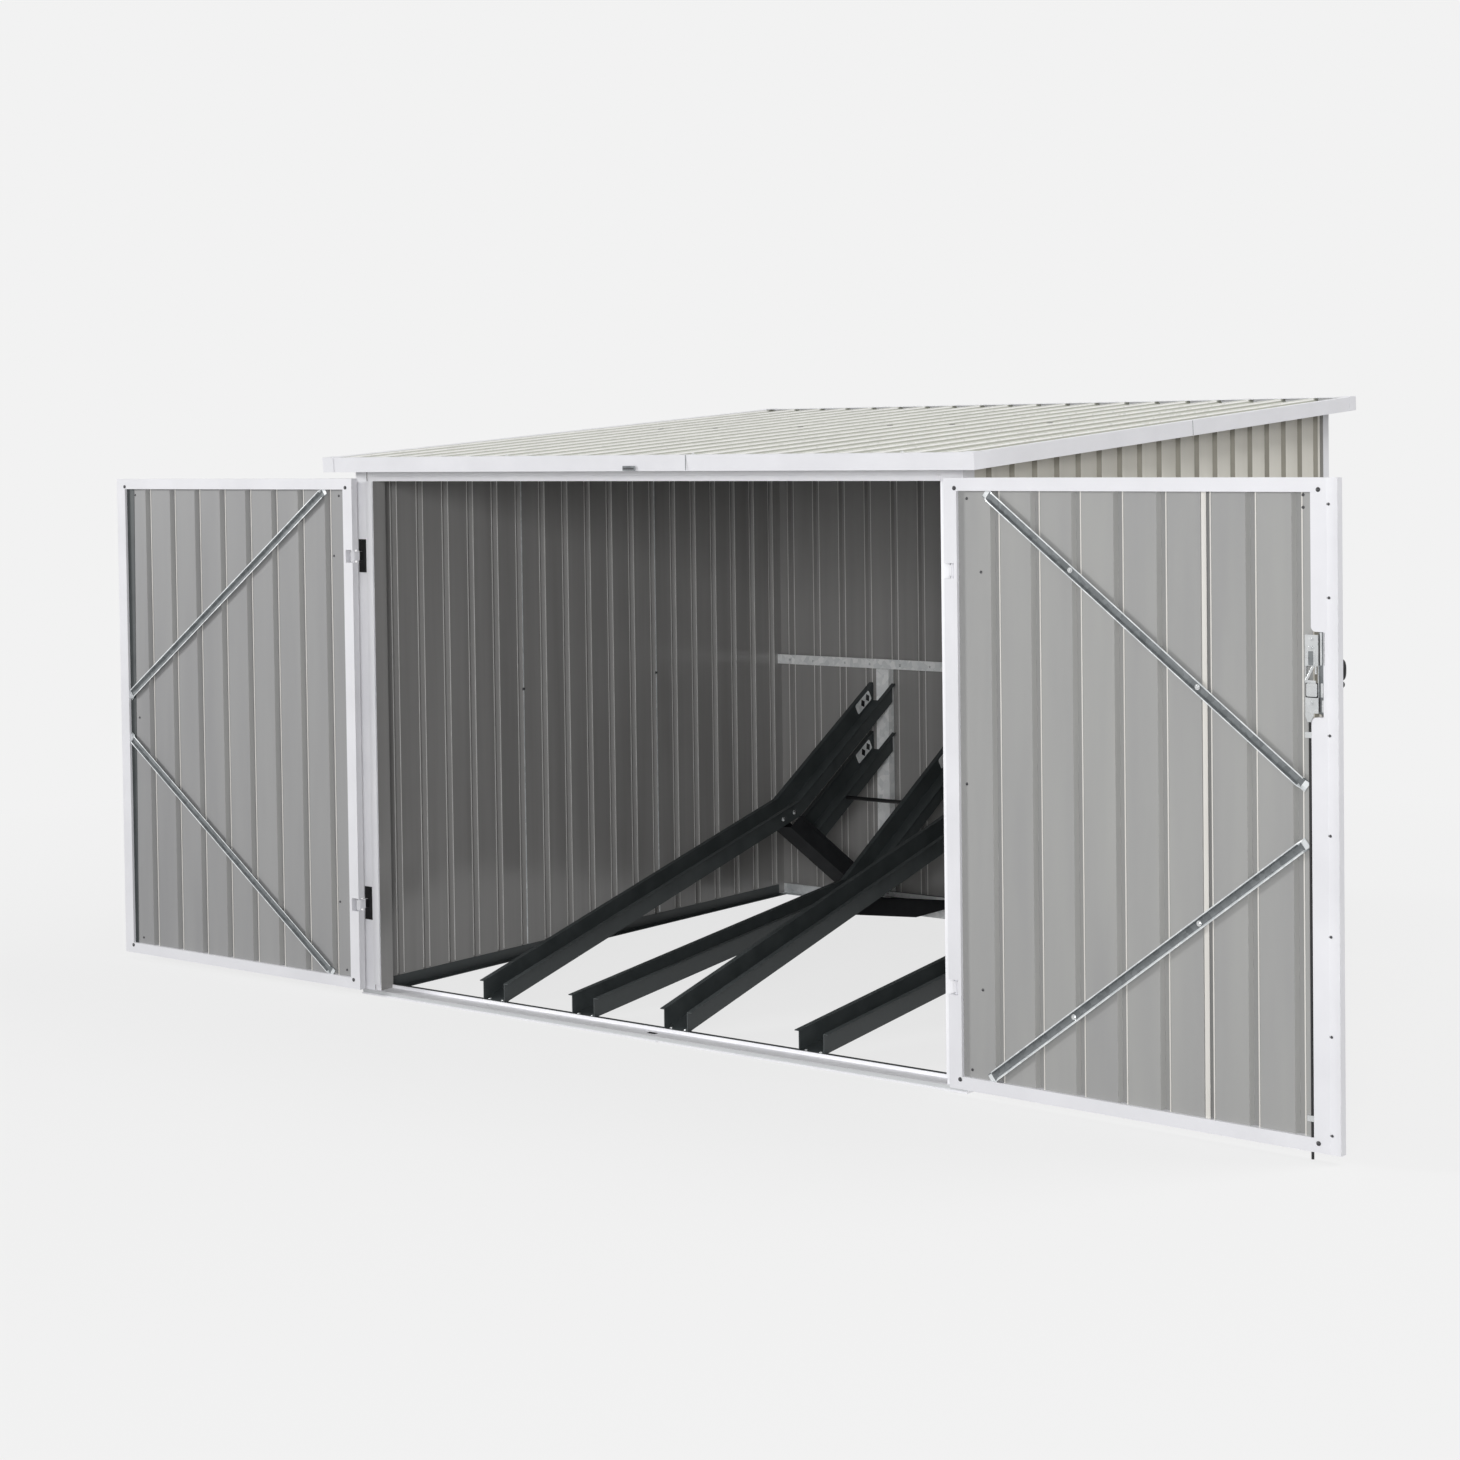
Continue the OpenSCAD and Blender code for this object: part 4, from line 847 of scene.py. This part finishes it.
def seenDirectly(tree):
    # one for rays from the camera, in reflections and through glass, and nought for light that bounces
    rays = addNode(tree, "ShaderNodeLightPath").outputs
    seen = addNode(tree, "ShaderNodeMath", {0: rays["Is Camera Ray"], 1: rays["Is Glossy Ray"]}, operation="MAXIMUM")
    return addNode(tree, "ShaderNodeMath", {0: seen.outputs[0], 1: rays["Is Transmission Ray"]}, operation="MAXIMUM")


world = bpy.data.worlds.new("studio")
bpy.context.scene.world = world
world.use_nodes = True
tree = world.node_tree
tree.nodes.clear()
back = addNode(tree, "ShaderNodeBackground", {"Color": linearRgb(stageLook["back"]), "Strength": 1.0})
soft = addNode(tree, "ShaderNodeBackground", {"Color": (1, 1, 1, 1), "Strength": stageLook["worldLight"]})
both = addNode(tree, "ShaderNodeMixShader", {
    0: seenDirectly(tree).outputs[0], 1: soft.outputs[0], 2: back.outputs[0]})
addNode(tree, "ShaderNodeOutputWorld", {"Surface": both.outputs[0]})

floorMesh = bpy.data.meshes.new("floor")
count = stageLook["floorPoints"]
g = np.linspace(-stageLook["floorHalf"], stageLook["floorHalf"], count)
gx, gy = np.meshgrid(g, g, indexing="ij")
grid = np.arange(count * count).reshape(count, count)
quads = np.stack([grid[:-1, :-1], grid[1:, :-1], grid[1:, 1:], grid[:-1, 1:]], -1).reshape(-1, 4)
floorMesh.from_pydata(np.stack([gx, gy, gx * 0 + stageLook["floorZ"]], -1).reshape(-1, 3), [], quads.tolist())
floor = bpy.data.objects.new("floor", floorMesh)
bpy.context.scene.collection.objects.link(floor)
floorPaper = bpy.data.materials.new("paleFloor")
floorPaper.use_nodes = True
tree = floorPaper.node_tree
tree.nodes.clear()
coords = addNode(tree, "ShaderNodeTexCoord")
radius = addNode(tree, "ShaderNodeVectorMath", {0: coords.outputs["Object"]}, operation="LENGTH")
fade = addNode(tree, "ShaderNodeMapRange", {
    "Value": radius.outputs["Value"], "From Min": stageLook["fade"][0], "From Max": stageLook["fade"][1],
    "To Min": 1 - stageLook["shadowShare"], "To Max": 1.0})
seen = seenDirectly(tree)
share = addNode(tree, "ShaderNodeMath", {0: seen.outputs[0], 1: fade.outputs["Result"]}, operation="MULTIPLY")
tone = addNode(tree, "ShaderNodeMix", {
    0: seen.outputs[0], 6: linearRgb(stageLook["floorTone"]), 7: linearRgb(stageLook["back"])}, data_type="RGBA")
paper = addNode(tree, "ShaderNodeBsdfDiffuse", {"Color": tone.outputs[2]})
glow = addNode(tree, "ShaderNodeEmission", {"Color": linearRgb(stageLook["back"]), "Strength": 1.0})
both = addNode(tree, "ShaderNodeMixShader", {0: share.outputs[0], 1: paper.outputs[0], 2: glow.outputs[0]})
addNode(tree, "ShaderNodeOutputMaterial", {"Surface": both.outputs[0]})
floorMesh.materials.append(floorPaper)

lamps = {
    "key": {"at": (-18.0, -8.4, 5.4), "aim": (0.0, 0.0, 0.8), "size": 3.2, "power": 2300},
    "fill": {"at": (5.2, -7.6, 2.2), "aim": (0.0, 0.5, 0.7), "size": 2.0, "power": 345},
    "sky": {"at": (5.0, 3.0, 7.0), "aim": (0.5, 1.0, 1.2), "size": 3.0, "power": 230},
}
for name, lamp in lamps.items():
    data = bpy.data.lights.new(name, "AREA")
    data.shape = "SQUARE"
    data.size = lamp["size"]
    data.energy = lamp["power"]
    item = bpy.data.objects.new(name, data)
    bpy.context.scene.collection.objects.link(item)
    away = Vector(lamp["at"]) - Vector(lamp["aim"])
    item.matrix_world = Matrix.Translation(lamp["at"]) @ away.to_track_quat("Z", "Y").to_matrix().to_4x4()

# the camera: place in metres, angles in degrees, focal length and the row of the optical axis in pixels of the image
view = {"at": (4.1238, -4.9851, 1.4718), "yaw": 37.593, "pitch": 1.751, "roll": -0.751,
        "focal": 2641.4, "axisRow": 518.9, "image": 1460, "sensor": 36.0}
yaw, pitch, roll = (math.radians(view[k]) for k in ("yaw", "pitch", "roll"))
ahead = np.array([-math.sin(yaw), math.cos(yaw), 0.0])
right = np.array([math.cos(yaw), math.sin(yaw), 0.0])
upright = np.array([0.0, 0.0, 1.0])
sight = ahead * math.cos(pitch) - upright * math.sin(pitch)
above = upright * math.cos(pitch) + ahead * math.sin(pitch)
rightRolled = right * math.cos(roll) + above * math.sin(roll)
aboveRolled = above * math.cos(roll) - right * math.sin(roll)
cameraData = bpy.data.cameras.new("camera")
cameraData.sensor_fit = "HORIZONTAL"
cameraData.sensor_width = view["sensor"]
cameraData.lens = view["focal"] * view["sensor"] / view["image"]
cameraData.shift_y = (view["axisRow"] - view["image"] / 2) / view["image"]
cameraData.clip_end = 200.0
camera = bpy.data.objects.new("camera", cameraData)
bpy.context.scene.collection.objects.link(camera)
axes = np.eye(4)
axes[:3, 0], axes[:3, 1], axes[:3, 2], axes[:3, 3] = rightRolled, aboveRolled, -sight, view["at"]
camera.matrix_world = Matrix(axes.tolist())
bpy.context.scene.camera = camera
bpy.context.scene.view_settings.view_transform = "Standard"
print("stage set")
